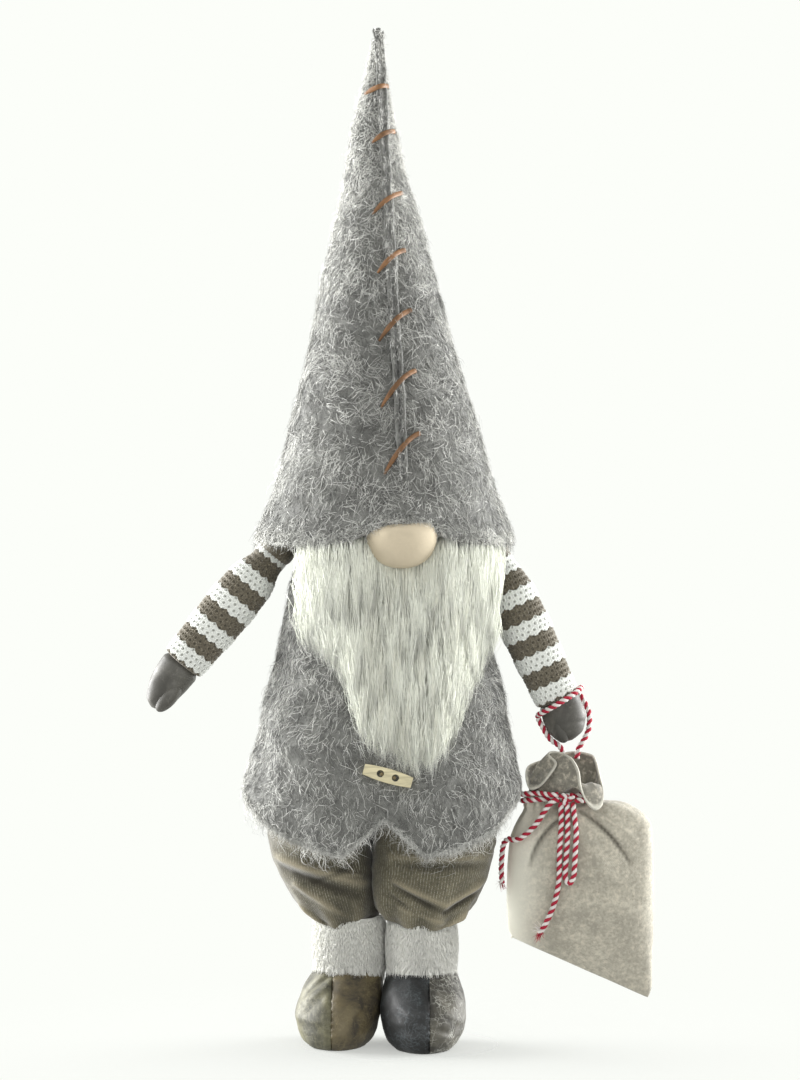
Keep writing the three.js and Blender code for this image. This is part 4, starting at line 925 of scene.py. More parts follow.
def beard_floor(x):
    """How far the beard's tips fall below its top at a place across it."""
    return np.interp(x, BEARD_TIPS[:, 0], BEARD_TIPS[:, 1])


def beard_place(x, fall, proud, drape):
    """A point of the beard: across it, down from its top, off the coat, and its share of the brim's drape."""
    z = BEARD_TOP - fall
    off = np.clip(np.abs(x - BODY_X) / coat_half(z), 0, 0.9)
    low = BODY_Y - coat_depth(z) * np.sqrt(1 - off**2) - proud
    behind_nose = np.exp(-(((x - BRIM_LIFT_X) / NOSE_HALF) ** 4)) * ramp(z, NOSE_FOOT, NOSE_FOOT + 18)
    under_brim = 7 * ramp(z, BRIM_Z - 2, BRIM_Z + 4)
    high = hat_front(x, np.maximum(z, BRIM_Z)) + 7 + under_brim + 16 * behind_nose - proud
    share = drape * hill(np.maximum(fall, 0), 0, 48)
    return x, low * (1 - share) + np.minimum(high, low) * share, z


# The stage, the camera and the light
class GNOME_OT_stage(bpy.types.Operator):
    """Set the camera, the light, the floor and the backdrop"""

    bl_idname = "gnome.stage"
    bl_label = "Stage"

    def execute(self, context):
        scene = context.scene
        bpy.ops.object.select_all(action="DESELECT")
        place = (0, (BODY_Y - VIEW_AWAY) * MM, VIEW_UP * MM)
        bpy.ops.object.camera_add(location=place, rotation=(math.pi / 2, 0, 0))
        camera = context.object
        camera.data.sensor_fit = "HORIZONTAL"
        camera.data.angle = 2 * math.atan(VIEW_HALF / VIEW_AWAY)
        scene.camera = camera
        scene.view_settings.view_transform = "Standard"
        for name, place, size, power in LAMPS:
            aim = np.array(LAMP_AIM) - place
            turn = (math.acos(-aim[2] / np.linalg.norm(aim)), 0, math.atan2(aim[1], aim[0]) - math.pi / 2)
            bpy.ops.object.light_add(type="AREA", location=place, rotation=turn)
            context.object.name = name
            context.object.data.size = size
            context.object.data.energy = power
        self.light_world(scene)
        self.lay_floor()
        return {"FINISHED"}

    def light_world(self, scene):
        """A soft white light all round, and the plain backdrop where the camera looks."""
        scene.world = bpy.data.worlds.new("Pale studio")
        scene.world.use_nodes = True
        tree = scene.world.node_tree
        tree.nodes.clear()
        path = add(tree, "LightPath").outputs
        seen = math_node(tree, "MAXIMUM", path["Is Camera Ray"], path["Is Glossy Ray"])
        seen = math_node(tree, "MAXIMUM", seen, path["Is Transmission Ray"])
        soft = add(tree, "Background", {"Color": (1, 1, 1), "Strength": WORLD_LIGHT})
        plain = add(tree, "Background", {"Color": srgb(*BACKDROP), "Strength": 1.0})
        mix = add(tree, "MixShader", {0: seen, 1: soft.outputs[0], 2: plain.outputs[0]})
        add(tree, "OutputWorld", {"Surface": mix.outputs[0]})

    def lay_floor(self):
        """A floor that shows only near the feet, where their shade falls."""
        circle = bpy.ops.mesh.primitive_circle_add
        floor = primitive("floor", circle, vertices=96, radius=FLOOR_RADIUS, fill_type="TRIFAN")

        def shade(tree):
            reach = add(tree, "VectorMath", {0: object_place(tree)}, operation="LENGTH").outputs["Value"]
            near = ranged(tree, reach, 0.0, SHADE_REACH, 1.0, 0.0)
            alpha = times(tree, math_node(tree, "POWER", near, SHADE_FADE), SHADE_STRENGTH)
            return {"Color": (0.405, 0.414, 0.4), "Alpha": alpha}

        floor.data.materials.append(material("Pale floor", shade, rough=0.9))


# Twine
def twisted(name, route, step=0.7):
    """Two strands, one red and one white, laid round each other along a route."""
    _, length = spline(route, 50)
    centres, _ = spline(route, int(length / step))
    forward = unit(np.gradient(centres, axis=0))
    side = np.empty_like(centres)
    side[0] = unit(np.cross(forward[0], [0.31, 0.84, 0.44]))
    for k in range(1, len(centres)):
        side[k] = unit(side[k - 1] - forward[k] * (side[k - 1] @ forward[k]))
    other = np.cross(forward, side)
    strands = []
    for index, colour in enumerate(("red", "white")):
        turn = TURN * (np.linspace(0, length, len(centres)) / TWINE_PITCH + index / 2)
        out = side * np.cos(turn)[:, None] + other * np.sin(turn)[:, None]
        strand = tube(f"{name}_{colour}", centres + out * TWINE * 0.52, out, TWINE * 0.62, TWINE * 0.56, 7)
        strand.data.materials.append(bpy.data.materials[f"Twine {colour}"])
        strands.append(strand)
    return join(name, strands), centres, length


def fray(name, end, way, seed, colour, count, length):
    """Loose fibres at the cut end of a twine."""
    rng = np.random.default_rng(seed)
    way = unit(np.array(way, float))
    start = np.array(end, float) + rng.normal(0, 0.7, (count, 3))
    spread = unit(way + rng.normal(0, 0.33, (count, 3)))
    t = np.linspace(0, 1, 4)[None, :, None]
    bend = rng.normal(0, 1.2, (count, 1, 3))
    paths = start[:, None] + spread[:, None] * rng.uniform(0.5, 1, (count, 1, 1)) * length * t + bend * t**2
    piece = hairs(name, paths, 0.22, rng.random(count))
    return settle(piece, "sack", "twine", bpy.data.materials[f"Frayed {colour}"])


def winding_route():
    """From the knot round the sack's neck and back to the knot."""
    low = TWINE + 0.5
    middle, half = (NECK_ROW[1] + NECK_ROW[3]) / 2, (NECK_ROW[3] - NECK_ROW[1]) / 2 + low
    start = -math.pi / 2 + math.asin((KNOT[0] - middle) / half)
    points = []
    for k in range(WINDING_FREE, WINDING_TURNS * WINDING_STEPS - WINDING_FREE + 1):
        share = k / WINDING_STEPS
        x, y, z = sack_slice(NECK_ROW, start + share * TURN, -low)
        points.append((float(x), float(y), float(z) + low + WINDING_PITCH * share))

    def beside_knot(side, rise):
        return [(KNOT[0] + side * reach, KNOT[1], KNOT[2] + rise) for reach in (5.5, 10.5)]

    return [*beside_knot(1, -1.2), *points, *reversed(beside_knot(-1, 2.6))]


def knot_route():
    """An overhand knot, as a trefoil round the knot's middle."""
    t = np.linspace(0, TURN, 26)
    x = KNOT[0] + 1.7 * (np.sin(t) + 1.5 * np.sin(2 * t))
    return points_of(x, KNOT[1] + 1.7 * -np.sin(3 * t), KNOT[2] + 1.35 * (np.cos(t) - 1.5 * np.cos(2 * t)))


class GNOME_OT_twine(bpy.types.Operator):
    """Lay the carry loop, the winding, the knot, the bow loop and the two tails"""

    bl_idname = "gnome.twine"
    bl_label = "Twine"

    def execute(self, context):
        _, colours = settings()
        for colour, value in (("red", colours.twine_red), ("white", colours.twine_white)):
            fibre_cloth(f"Twine {colour}", darker(value, 0.72), value, 300.0, 1500.0, bump=0.5)
            hair_cloth(f"Frayed {colour}", darker(value, 0.8), value)
        arm = ARMS["right"]
        carry = [arm_point(arm, arm["length"] + past, across, depth) for past, across, depth in CARRY_LOOP]
        frayed = {name: [fray(*end) for end in ends] for name, ends in FRAYS.items()}
        for name, route, body, far_end in [
            ("carry_loop", carry, "right_arm", "object"), ("bow_loop", BOW_LOOP, "sack", "knot"),
            ("front_tail", FRONT_TAIL, "sack", "bare"), ("side_tail", SIDE_TAIL, "sack", "bare"),
        ]:
            self.cord(name, route, body, far_end, frayed.get(name, []))
        for name, route, node in [
            ("twine_neck_winding", winding_route(), "neck_winding"),
            ("twine_tied_knot", knot_route(), "twine_knot"),
        ]:
            piece, _, _ = twisted(name, route)
            settle(piece, "sack", "twine", None, node)
        return {"FINISHED"}

    def cord(self, name, route, body, far_end, frayed):
        piece, centres, length = twisted(f"twine_{name}", route)
        settle(piece, body, "twine", None, name)


# Hat, laces and nose
class GNOME_OT_hat(bpy.types.Operator):
    """Make the felt hat, the two lips of its front seam and its loose fibres"""

    bl_idname = "gnome.hat"
    bl_label = "Hat"

    def execute(self, context):
        fur, _ = settings()
        felt = bpy.data.materials["Grey felt"]
        settle(formed("felt_hat", 130, 130, hat_surface, wall=FELT), "torso", "grey_felt", felt, "hat")
        settle(join("hat_seam_lips", [self.lip(side) for side in (-1, 1)]), "torso", "grey_felt", felt)
        front = self.spots(0.0, 0.99, 0.5, 1.0, fur.felt_count)
        back = self.spots(0.0, 0.99, 0.0, 0.5, int(0.5 * fur.felt_count))
        everywhere = self.spots(0.01, 0.985, 0, 1, 7000)
        brim = self.spots(0.0, 0.024, 0, 1, 5200)
        grow_felt([
            ("hat_fibres_front", hat_surface, front, 41, 1, "Felt fibres", {}),
            ("hat_fibres_back", hat_surface, back, 51, 1, "Felt fibres", {}),
            ("hat_seam_fibres", self.seam, lambda rng: (rng.random(4200), rng.random(4200)), 44, 0.6,
             "Felt fibres", dict(hang=0.5, lift=0.9, steps=4, curl=0.3)),
            ("hat_long_fibres", hat_surface, everywhere, 45, 1.15,
             "Pale felt fibres", dict(hang=0.1, lift=2.2, steps=4, curl=0.36)),
            ("hat_brim_fibres", hat_surface, brim, 43, 0.6,
             "Pale felt fibres", dict(hang=0.4, lift=2.2, curl=0.35, paler=0.25)),
        ])
        return {"FINISHED"}

    def spots(self, low, high, first, last, count):
        """Spots between two heights and two shares of the way round, fewer toward the hat's point."""
        def placed(rng):
            v = 1 - rng.uniform((1 - high) ** 1.6, (1 - low) ** 1.6, count) ** (1 / 1.6)
            return rng.uniform(first, last, count), v

        return placed

    def lip(self, side):
        """One of the two felt edges that stand up along the seam and part at the hat's point."""
        z = np.linspace(SEAM_LOW_Z, HAT_TOP - (1.5 if side > 0 else 0), 160)
        rise = ramp(z, SEAM_LOW_Z, SEAM_LOW_Z + 25)
        near_tip = ramp(z, 640, 690)
        parting = 1.4 * ramp(z, 676, 688) ** 2

        def uneven(size, seed):
            return ripple(0 * z, 0 * z, z, size, seed + side)

        x = seam_x(z) + side * (SEAM_LIP + parting) + 0.7 * uneven(15, 31) * (1 - 0.5 * near_tip)
        y = hat_front(x, z) - 1.7 * rise * (1 - 0.5 * near_tip) + 0.5 * uneven(22, 36)
        narrow = 1 - 0.25 * near_tip + 0.12 * uneven(9, 41)
        height = 2.5 * rise * narrow + 0.4
        return tube("lip", points_of(x, y, z), (0.3 * side, -1, 0), 1.6 * narrow, height, 10)

    def seam(self, u, v):
        """The strip over both lips, from which the seam's fibres grow."""
        z = SEAM_LOW_Z + 4 + v * (HAT_TOP - SEAM_LOW_Z - 6)
        off = (u - 0.5) * 8.5 * (1 - 0.3 * v)
        x = seam_x(z) + off
        return x, hat_front(x, z) - 0.2 - 4.2 * hill(np.abs(off), SEAM_LIP, 1.25) * (1 - 0.4 * v), z


class GNOME_OT_laces(bpy.types.Operator):
    """Sew the seven leather stitches over the hat's front seam"""

    bl_idname = "gnome.laces"
    bl_label = "Lace stitches"

    def execute(self, context):
        _, colours = settings()
        worn = srgb(180, 138, 88)
        tan = leather("Tan lace", colours.lace, darker(colours.lace, 0.5), worn, 0.4, 0.1, bump=0.3)
        for index, stitch in enumerate(LACES, 1):
            lace = self.stitch(f"leather_lace_{index}", *stitch)
            settle(lace, "torso", "tan_lace", tan, f"lace_stitch_{index}")
        return {"FINISHED"}

    def stitch(self, name, z, left, right, rise):
        """A flat thong that climbs over the seam's lips and goes into the felt at both ends."""
        way = np.linspace(0, 1, 30)
        x = seam_x(z) - left + (left + right) * way
        crown = left / (left + right)
        height = z + rise * ((1 - (1 - way) ** 1.6) - (1 - (1 - crown) ** 1.6))
        over = hill((way - crown) * (left + right), 0, 7)
        ends = ramp(np.abs(way - 0.5), 0.44, 0.5)
        y = hat_front(x, height) - 1.1 - 5.0 * over + 4.0 * ends**2
        taper = np.clip(0.4 + way * 2.2, 0, 1)
        return tube(name, points_of(x, y, height), (0, -1, 0), 1.65 * taper, 0.6, 10)


class GNOME_OT_nose(bpy.types.Operator):
    """Stuff the round nose, whose top tucks in under the brim"""

    bl_idname = "gnome.nose"
    bl_label = "Nose"

    def execute(self, context):
        _, colours = settings()
        low, high = (np.array(corner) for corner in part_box("nose"))
        ball = bpy.ops.mesh.primitive_uv_sphere_add
        nose = primitive("stuffed_nose", ball, segments=48, ring_count=32, radius=1)
        points = read_points(nose)
        tuck = ramp(points[:, 2], 0.15, 0.65) * (points[:, 1] < 0)
        points[:, 1] *= 1 - 0.8 * tuck
        points *= 1 + 0.012 * ripple(*points.T, 0.9, 51)[:, None]
        nose.data.vertices.foreach_set("co", ((low + high) / 2 + points * (high - low) / 2).ravel())
        bpy.ops.object.shade_smooth()
        dark = darker(colours.nose, 0.86)
        skin = fibre_cloth("Nose velour", dark, colours.nose, 60.0, 1600.0, bump=0.15, distance=0.2)
        settle(nose, "torso", "nose_cloth", skin, "nose")
        return {"FINISHED"}


class GNOME_OT_beard(bpy.types.Operator):
    """Grow the long beard in three layers of pointed locks over its backing"""

    bl_idname = "gnome.beard"
    bl_label = "Beard"

    def execute(self, context):
        fur, colours = settings()
        hair = hair_cloth("Beard hair", colours.beard_streak, colours.beard, rough=0.6, Sheen_Weight=0.5)
        backing = fibre_cloth("Beard backing", darker(colours.beard_streak, 0.9), colours.beard, bump=0.6)
        base = formed("beard_backing", 60, 30, self.backing, wall=1.4, weld=False)
        settle(base, "torso", "ivory_fur", backing, "beard")
        for index, layer in enumerate(("under", "middle", "over")):
            proud, drape = 4.0 + 3.6 * index, 0.88 + 0.06 * index
            grown = self.grow(61 + index, fur.beard_count, fur.beard_fibre / MM, proud, drape)
            settle(hairs(f"beard_{layer}_layer", *grown), "torso", "ivory_fur", hair)
        return {"FINISHED"}

    def backing(self, u, v):
        x = -64 + 118 * u
        fall = np.maximum(beard_floor(x) - 26, 14) * (1 - v) - (4 + 14 * over_nose(x)) * v
        return beard_place(x, fall, 2.2 + 4.5 * np.sin(np.pi * u), 0.85)

    def grow(self, seed, count, length, proud, drape):
        """Hairs of one layer, gathered in locks that narrow to a point."""
        rng = np.random.default_rng(seed)
        locks, steps = BEARD_LOCKS, 4
        wide = BEARD_ROOTS[1] - BEARD_ROOTS[0]
        root_x = BEARD_ROOTS[0] + wide * (rng.permutation(locks) + rng.random(locks)) / locks
        top = -6 - 15 * over_nose(root_x)
        deep = np.maximum(beard_floor(root_x) - 20, 8) - top
        root_fall = top + deep * np.where(rng.random(locks) < 0.25, 0.06, rng.random(locks) ** 0.85)
        toward = 0.05 * (5 - root_x) * rng.uniform(-0.8, 2.0, locks)
        tips = rng.uniform(-11, 3 + 5 * (np.abs(root_x) > 25), locks)
        room = beard_floor(root_x + toward) - root_fall + tips
        reach = np.clip(length * rng.uniform(0.7, 1.25, locks), 12, np.maximum(room, 12))
        shade = (rng.random(locks) < 0.45) * np.clip(1 - np.abs(root_x - 6) / 50, 0, 1)
        lock = rng.integers(0, locks, count)
        off_x, off_z = rng.normal(0, 3.4, count), rng.normal(0, 5.5, count)
        pull = rng.uniform(0.55, 1.05, count)
        bow, wave = rng.normal(0, 2.2, locks), rng.normal(0, 0.8, count)
        long = reach[lock] * (1 - 0.25 * rng.random(count) ** 2)
        dome = 0.7 * hill(off_x, 0, 3.5)
        paths = np.empty((count, steps, 3))
        for k, t in enumerate(np.linspace(0, 1, steps)):
            x = root_x[lock] + toward[lock] * t + off_x * (1 - pull * t**0.8)
            x = x + bow[lock] * math.sin(np.pi * t)
            fall = root_fall[lock] + off_z * (1 - 0.7 * t) + long * t
            inside = 1 - np.exp(-np.maximum(beard_floor(x) - fall, 0) / 24)
            stand = proud * (0.3 + 0.7 * inside) + dome + 0.6 * np.abs(wave)
            rise = 1.8 + stand * min(1, 2.6 * t + 0.3)
            paths[:, k] = points_of(*beard_place(x + wave * math.sin(5 * t), fall, rise, drape))
        tones = 1 - 0.1 * rng.random(count) - 0.24 * shade[lock] * rng.random(count)
        return clear_of_arm(paths), rng.uniform(0.16, 0.28, count), np.clip(tones, 0, 1)


# Coat and toggle
class GNOME_OT_coat(bpy.types.Operator):
    """Make the felt coat with its notched hem, the pale edge of the hem and its loose fibres"""

    bl_idname = "gnome.coat"
    bl_label = "Coat"

    def execute(self, context):
        fur, colours = settings()
        felt = bpy.data.materials["Grey felt"]
        settle(formed("felt_coat", 170, 90, coat_surface, wall=FELT), "torso", "grey_felt", felt, "coat")
        dark = darker(colours.felt_light, 0.7)
        edge_felt = fibre_cloth("Hem felt", dark, colours.felt_fibre, bump=0.8, distance=0.9)
        settle(self.welt(), "torso", "grey_felt", edge_felt)
        front = self.spots(0.012, 0.97, 0.5, 1.0, int(0.9 * fur.felt_count))
        back = self.spots(0.012, 0.97, 0.0, 0.5, int(0.45 * fur.felt_count))
        everywhere = self.spots(0.03, 0.9, 0, 1, 5200)
        hem, loose = self.spots(0.0, 0.016, 0, 1, 7600), self.spots(0.0, 0.012, 0, 1, 1700)
        grow_felt([
            ("coat_fibres_front", coat_surface, front, 71, 0.85, "Felt fibres", dict(hang=0.9)),
            ("coat_fibres_back", coat_surface, back, 81, 0.85, "Felt fibres", dict(hang=0.9)),
            ("coat_long_fibres", coat_surface, everywhere, 75, 1.1,
             "Pale felt fibres", dict(hang=0.6, lift=2.0, steps=4, curl=0.34)),
            ("coat_hem_fibres", coat_surface, hem, 73, 0.5,
             "Pale felt fibres", dict(hang=0.1, lift=2.4, steps=3, curl=0.4, paler=0.3)),
            ("coat_hem_loose_fibres", coat_surface, loose, 74, 1.0,
             "Pale felt fibres", dict(hang=1.5, lift=1.4, steps=5, curl=0.4, paler=0.2)),
        ])
        return {"FINISHED"}

    def spots(self, low, high, first, last, count):
        """Spots spread evenly between two heights and two shares of the way round."""
        return lambda rng: (rng.uniform(first, last, count), rng.uniform(low, high, count))

    def welt(self):
        """The turned edge that runs round the hem."""
        u = np.linspace(0, 1, 260)
        edge = points_of(*coat_surface(u, 0 * u))
        outward = unit((edge - [BODY_X, BODY_Y, 0]) * [1, 1, 0])
        return tube("coat_hem_welt", edge - outward * 0.8 + [0, 0, 0.7], outward, 1.3, 1.3, 8)


class GNOME_OT_toggle(bpy.types.Operator):
    """Round the edges of the wooden toggle, and finish its thread and the dowels of the legs"""

    bl_idname = "gnome.toggle"
    bl_label = "Toggle"

    def execute(self, context):
        _, colours = settings()

        def grain(tree):
            feeds = {"Vector": object_place(tree), "Scale": (60, 300, 420), "Rotation": (0, 0.28, 0)}
            rings = noise(tree, add(tree, "Mapping", feeds).outputs[0], 1.0, 4, 0.6, 0.6)
            share = ranged(tree, rings, 0.35, 0.7)
            dark = darker(colours.wood, 0.62)
            return {"Color": blend_colour(tree, share, dark, colours.wood), "Height": rings}

        wood = material("Pale wood", grain, rough=0.5, bump=0.15, distance=0.3)
        toggle = from_node("wooden_toggle", "toggle_button")
        edge = dict(width=0.6 * MM, segments=3, limit_method="ANGLE", angle_limit=math.radians(35))
        apply_modifier(toggle, "BEVEL", **edge)
        choose(toggle)
        smooth_by_angle()
        settle(toggle, "torso", "pale_wood", wood, "toggle_button")
        thread = fibre_cloth("Thread", srgb(96, 84, 62), srgb(150, 136, 104), 300.0, 1600.0, bump=0.4)
        dress("toggle_thread", thread)
        for side in LEGS:
            dress(f"{side}_leg_dowel", wood)
        return {"FINISHED"}


# Arms
def stitch_gap(u, along):
    """How far a point of the knit lies off the middle of the nearest stitch."""
    gap = np.full_like(u, 9.0)
    row = np.floor(along / STITCH_ROW)
    for step in (-1, 0, 1):
        here = row + step
        off = (u * STITCHES + 0.5 * (here % 2)) % 1 - 0.5
        gap = np.minimum(gap, np.hypot(off * 1.1, ((along / STITCH_ROW) - here - 0.5) * 0.95))
    return gap


def sleeve_surface(arm):
    def knit(u, v):
        """Place along the arm, nearness to a white stripe, to a stitch's loop and to its hole."""
        along = SLEEVE_START + (arm["length"] - SLEEVE_START) * v
        below = arm["length"] - along
        gap = stitch_gap(u, below)
        phase = (below - 3.5 + 2.0 * np.abs(np.sin(TURN * 6 * u))) % STRIPES
        white = np.clip(np.minimum(phase - 0.2, 0.49 * STRIPES - phase) / 0.9 + 0.5, 0, 1)
        return along, white, hill(gap, 0.34, 0.15), hill(gap, 0, 0.23)

    def surface(u, v):
        along, white, loop, hole = knit(u, v)
        angle = -arm["side"] * TURN * u
        radius = column(SLEEVE_ROWS, ramp(along, SLEEVE_TOP, arm["length"]), 1, 0.04)
        cap = np.sqrt(np.clip(1 - (np.minimum(along, 0) / SLEEVE_CAP) ** 2, 0, 1))
        under_brim = 1.5 * ramp(along, 34, 16)
        relief = np.clip((along - 2) / 20, 0.1, 1) * (STITCH_DEPTH * (loop - hole) + 0.6 * white)
        radius = (np.maximum(radius - under_brim, SLEEVE_LEAST) + relief) * cap - 0.6
        radius = radius - 3.5 * ramp(v, 0.985, 1) ** 2
        return arm_point(arm, along, radius * np.cos(angle), radius * np.sin(angle))

    def marks(u, v):
        _, white, loop, hole = knit(u, v)
        # Painted shade, strongest in the holes of the stitches and weaker in the hollows between their loops
        return {"stripe": white, "hollow": np.clip(hole * 1.3 + 0.4 * (1 - loop) * (1 - hole), 0, 1)}

    return surface, marks


class GNOME_OT_sleeves(bpy.types.Operator):
    """Knit the two striped sleeves and the shoulders inside them, and finish the arms' wires"""

    bl_idname = "gnome.sleeves"
    bl_label = "Sleeves"

    def execute(self, context):
        sheen = dict(Sheen_Weight=0.25, Sheen_Roughness=0.5)
        knit = material("Striped knit", self.yarn, bump=0.6, distance=0.5, **sheen)
        steel = material("Drawn steel", srgb(168, 168, 168), rough=0.35, Metallic=1.0)
        for side, arm in ARMS.items():
            surface, marks = sleeve_surface(arm)
            sleeve = formed(f"{side}_knit_sleeve", 220, 184, surface, marks)
            settle(sleeve, f"{side}_arm", "knit", knit, f"{side}_sleeve")
            ball = from_node(f"{side}_knit_shoulder", f"{side}_shoulder_ball", 1.6, 4)
            paint(ball, "stripe", np.zeros(len(ball.data.vertices)))
            # A slight even painted shade over the shoulder
            paint(ball, "hollow", np.full(len(ball.data.vertices), 0.2))
            settle(ball, f"{side}_shoulder", "stuffing", knit, f"{side}_shoulder_ball")
            dress(f"{side}_arm_wire", steel)
        return {"FINISHED"}

    def yarn(self, tree):
        """Brown marled and white yarn, with painted shade in the holes and hollows of the stitches."""
        _, colours = settings()
        where = object_place(tree)
        fuzz = noise(tree, where, 900.0, 4, 0.7, 1.0)
        fleck = ranged(tree, noise(tree, where, 620.0, 3, 0.75), 0.5, 0.62, 0.0, 0.75)
        marl = blend_colour(tree, fleck, colours.knit_brown, srgb(176, 168, 148))
        dark, dull = darker(colours.knit_brown, 0.45), darker(colours.knit_white, 0.85)
        brown = blend_colour(tree, ranged(tree, fuzz, 0.35, 0.7), dark, marl)
        white = blend_colour(tree, ranged(tree, fuzz, 0.3, 0.6), dull, colours.knit_white)
        striped = blend_colour(tree, ranged(tree, painted(tree, "stripe"), 0.35, 0.65), brown, white)
        # Painted shade: the holes and hollows blend toward dark brown
        hollow = ranged(tree, painted(tree, "hollow"), 0.1, 1.0, 0.0, 0.62)
        return {"Color": blend_colour(tree, hollow, striped, srgb(84, 80, 68)), "Height": fuzz}


class GNOME_OT_mittens(bpy.types.Operator):
    """Sew the two soft leather mittens"""

    bl_idname = "gnome.mittens"
    bl_label = "Mittens"

    def execute(self, context):
        _, colours = settings()
        soft = leather(
            "Mitten leather", colours.mitten, darker(colours.mitten, 0.6), srgb(150, 146, 136), 0.3, 0.0,
            bump=0.25, Coat_Weight=0.15, Coat_Roughness=0.35,
        )
        for side, arm in ARMS.items():
            hand = formed(f"{side}_mitten_hand", 64, 60, self.hand(arm))
            thumb = formed(f"{side}_mitten_thumb", 40, 30, self.thumb(arm))
            piece = join(f"{side}_leather_mitten", [hand, thumb])
            choose(piece)
            face_outward()
            settle(piece, f"{side}_arm", "soft_suede", soft, f"{side}_mitten")
        return {"FINISHED"}

    def hand(self, arm):
        """Length from the wrist to the finger tips, whose bluntness the arm states."""
        blunt = arm["blunt"]
        rows = np.array([
            [0, 0.0], [0.001, 0.6], [0.12, 0.82], [0.2, 1.0], [0.45, 0.7 + 0.5 * blunt],
            [0.68, 0.42 + 0.82 * blunt], [0.85, 0.2 + 0.8 * blunt], [0.95, 0.1 + 0.66 * blunt], [1, 0],
        ])

        def surface(u, v):
            angle = TURN * u
            along = arm["length"] - 6 + v * (arm["mitten"] + 6)
            radius = PALM * column(rows, v, 1, 0.03) * np.where((v < 0.001) | (v > 0.999), 0, 1)
            across, depth = radius * np.cos(angle), radius * 0.86 * np.sin(angle)
            fold = 0.7 * crease(u * 90, v * 40, (50, 12), (80, 22), 2.2)
            fold = fold + 0.6 * crease(u * 90, v * 40, (60, 24), (84, 30), 2)
            bend = 1 - fold / np.maximum(radius, 4)
            return arm_point(arm, along, (across - 2.5 * v**2) * bend, depth * bend)

        return surface

    def thumb(self, arm):
        def surface(u, v):
            angle, rise = TURN * u, np.pi * (v - 0.5)
            across = PALM * (-0.52 + 0.42 * np.cos(rise) * np.cos(angle))
            depth = PALM * (-0.3 + 0.5 * np.cos(rise) * np.sin(angle))
            return arm_point(arm, arm["length"] + arm["mitten"] * (0.62 + 0.36 * np.sin(rise)), across, depth)

        return surface


# Legs, cuffs and boots
def trouser_surface(leg):
    def folds(angle, x, z, v):
        """Pleats where the leg is gathered at the ankle, and the drawn folds on its front."""
        facing = np.clip(-1.7 * np.sin(angle), 0, 1) ** 1.6
        total = 1.2 * np.sin(9 * angle + leg["side"]) * hill(v, 0, 0.2)
        for start, end, width, height in leg["folds"]:
            total = total + 1.9 * facing * height * crease(x, z, start, end, width)
        return total

    def puff(u, v):
        angle = TURN * u
        ankle_x, ankle_y = leg["ankle"]
        way = column(TROUSER_ROWS, v, 2, 0.04)
        half = leg["half"] * column(TROUSER_ROWS, v, 1, 0.05)
        front = hill(angle, 0.75 * TURN, 0.9)
        z = ANKLE_Z + 1 + v * (HIP_Z + 4 - ANKLE_Z) - 9 * front * ramp(v, 0.35, 0)
        half = np.maximum(half, 25.5) * (1 - 0.07 * ramp(v, 0.05, 0))
        x, y = ankle_x + way * (leg["hip"] - ankle_x), ankle_y + way * (BODY_Y - ankle_y)
        inward = np.clip(-leg["side"] * np.cos(angle), 0, 1)
        half = half + leg["press"] * inward**2 * np.sin(np.pi * np.clip(v * 0.8 + 0.2, 0, 1)) ** 0.5
        side_x, side_y = half * np.cos(angle), half * np.sin(angle)
        fold = folds(angle, x + side_x, z, v)
        lumps = 0.5 * ripple(side_x, side_y, z, 22, 81 + leg["side"]) + 0.3 * ripple(side_x, side_y, z, 8, 84)
        half = half + fold + lumps
        tuck = leg["tuck"] * inward**1.5
        return x + half * np.cos(angle), y + half * 0.92 * np.sin(angle) + tuck, z, fold, inward

    def surface(u, v):
        return puff(u, v)[:3]

    def marks(u, v):
        *_, fold, inward = puff(u, v)
        # Painted highlight on the ridges of the folds, painted shade in their valleys and in the gap between
        # the legs
        painted_gap_shade = np.clip(leg["tuck"] / 9, 0, 1) * ramp(inward, 0.6, 0.85)
        return {"ridge": np.clip(fold / 3.5, 0, 1), "deep": np.clip(np.maximum(-fold / 3.2, painted_gap_shade), 0, 1)}

    return surface, marks


def boot_surface(leg, right_half):
    """One panel of a boot's upper, between the seams down its front and its back."""
    height = BOOT_TOP - BOOT_FOOT

    def surface(u, v):
        way = column(BOOT_ROWS, v, 3)
        ankle_x, ankle_y = leg["ankle"]
        x, y = leg["boot"] + way * (ankle_x - leg["boot"]), ankle_y - BOOT_FORWARD * (1 - way)
        z = BOOT_FOOT + v * height
        half_x, half_y = column(BOOT_ROWS, v, 1), column(BOOT_ROWS, v, 2)
        turn = np.arccos(np.clip((leg["boot"] + leg["seam"] - x) / half_x, -0.8, 0.8))
        angle = np.where(right_half, -turn + 2 * turn * u, turn + (TURN - 2 * turn) * u)
        edge = hill(u * 60, 0, 1.6) + hill((1 - u) * 60, 0, 1.6)
        out = -1.2 * edge + 0.45 * edge * np.sin(v * 70)
        out = out + 0.6 * ripple(angle * 24, v * 45, 0 * v, 13, 91 + leg["side"])
        for start, end, width, depth in leg["creases"]:
            near = crease(x + BOOT_REACH * np.cos(angle), z, start, end, width)
            out = out + depth * near * (np.sin(angle) < 0)
        return x + (half_x + out) * np.cos(angle), y + (half_y + out) * np.sin(angle), z

    return surface


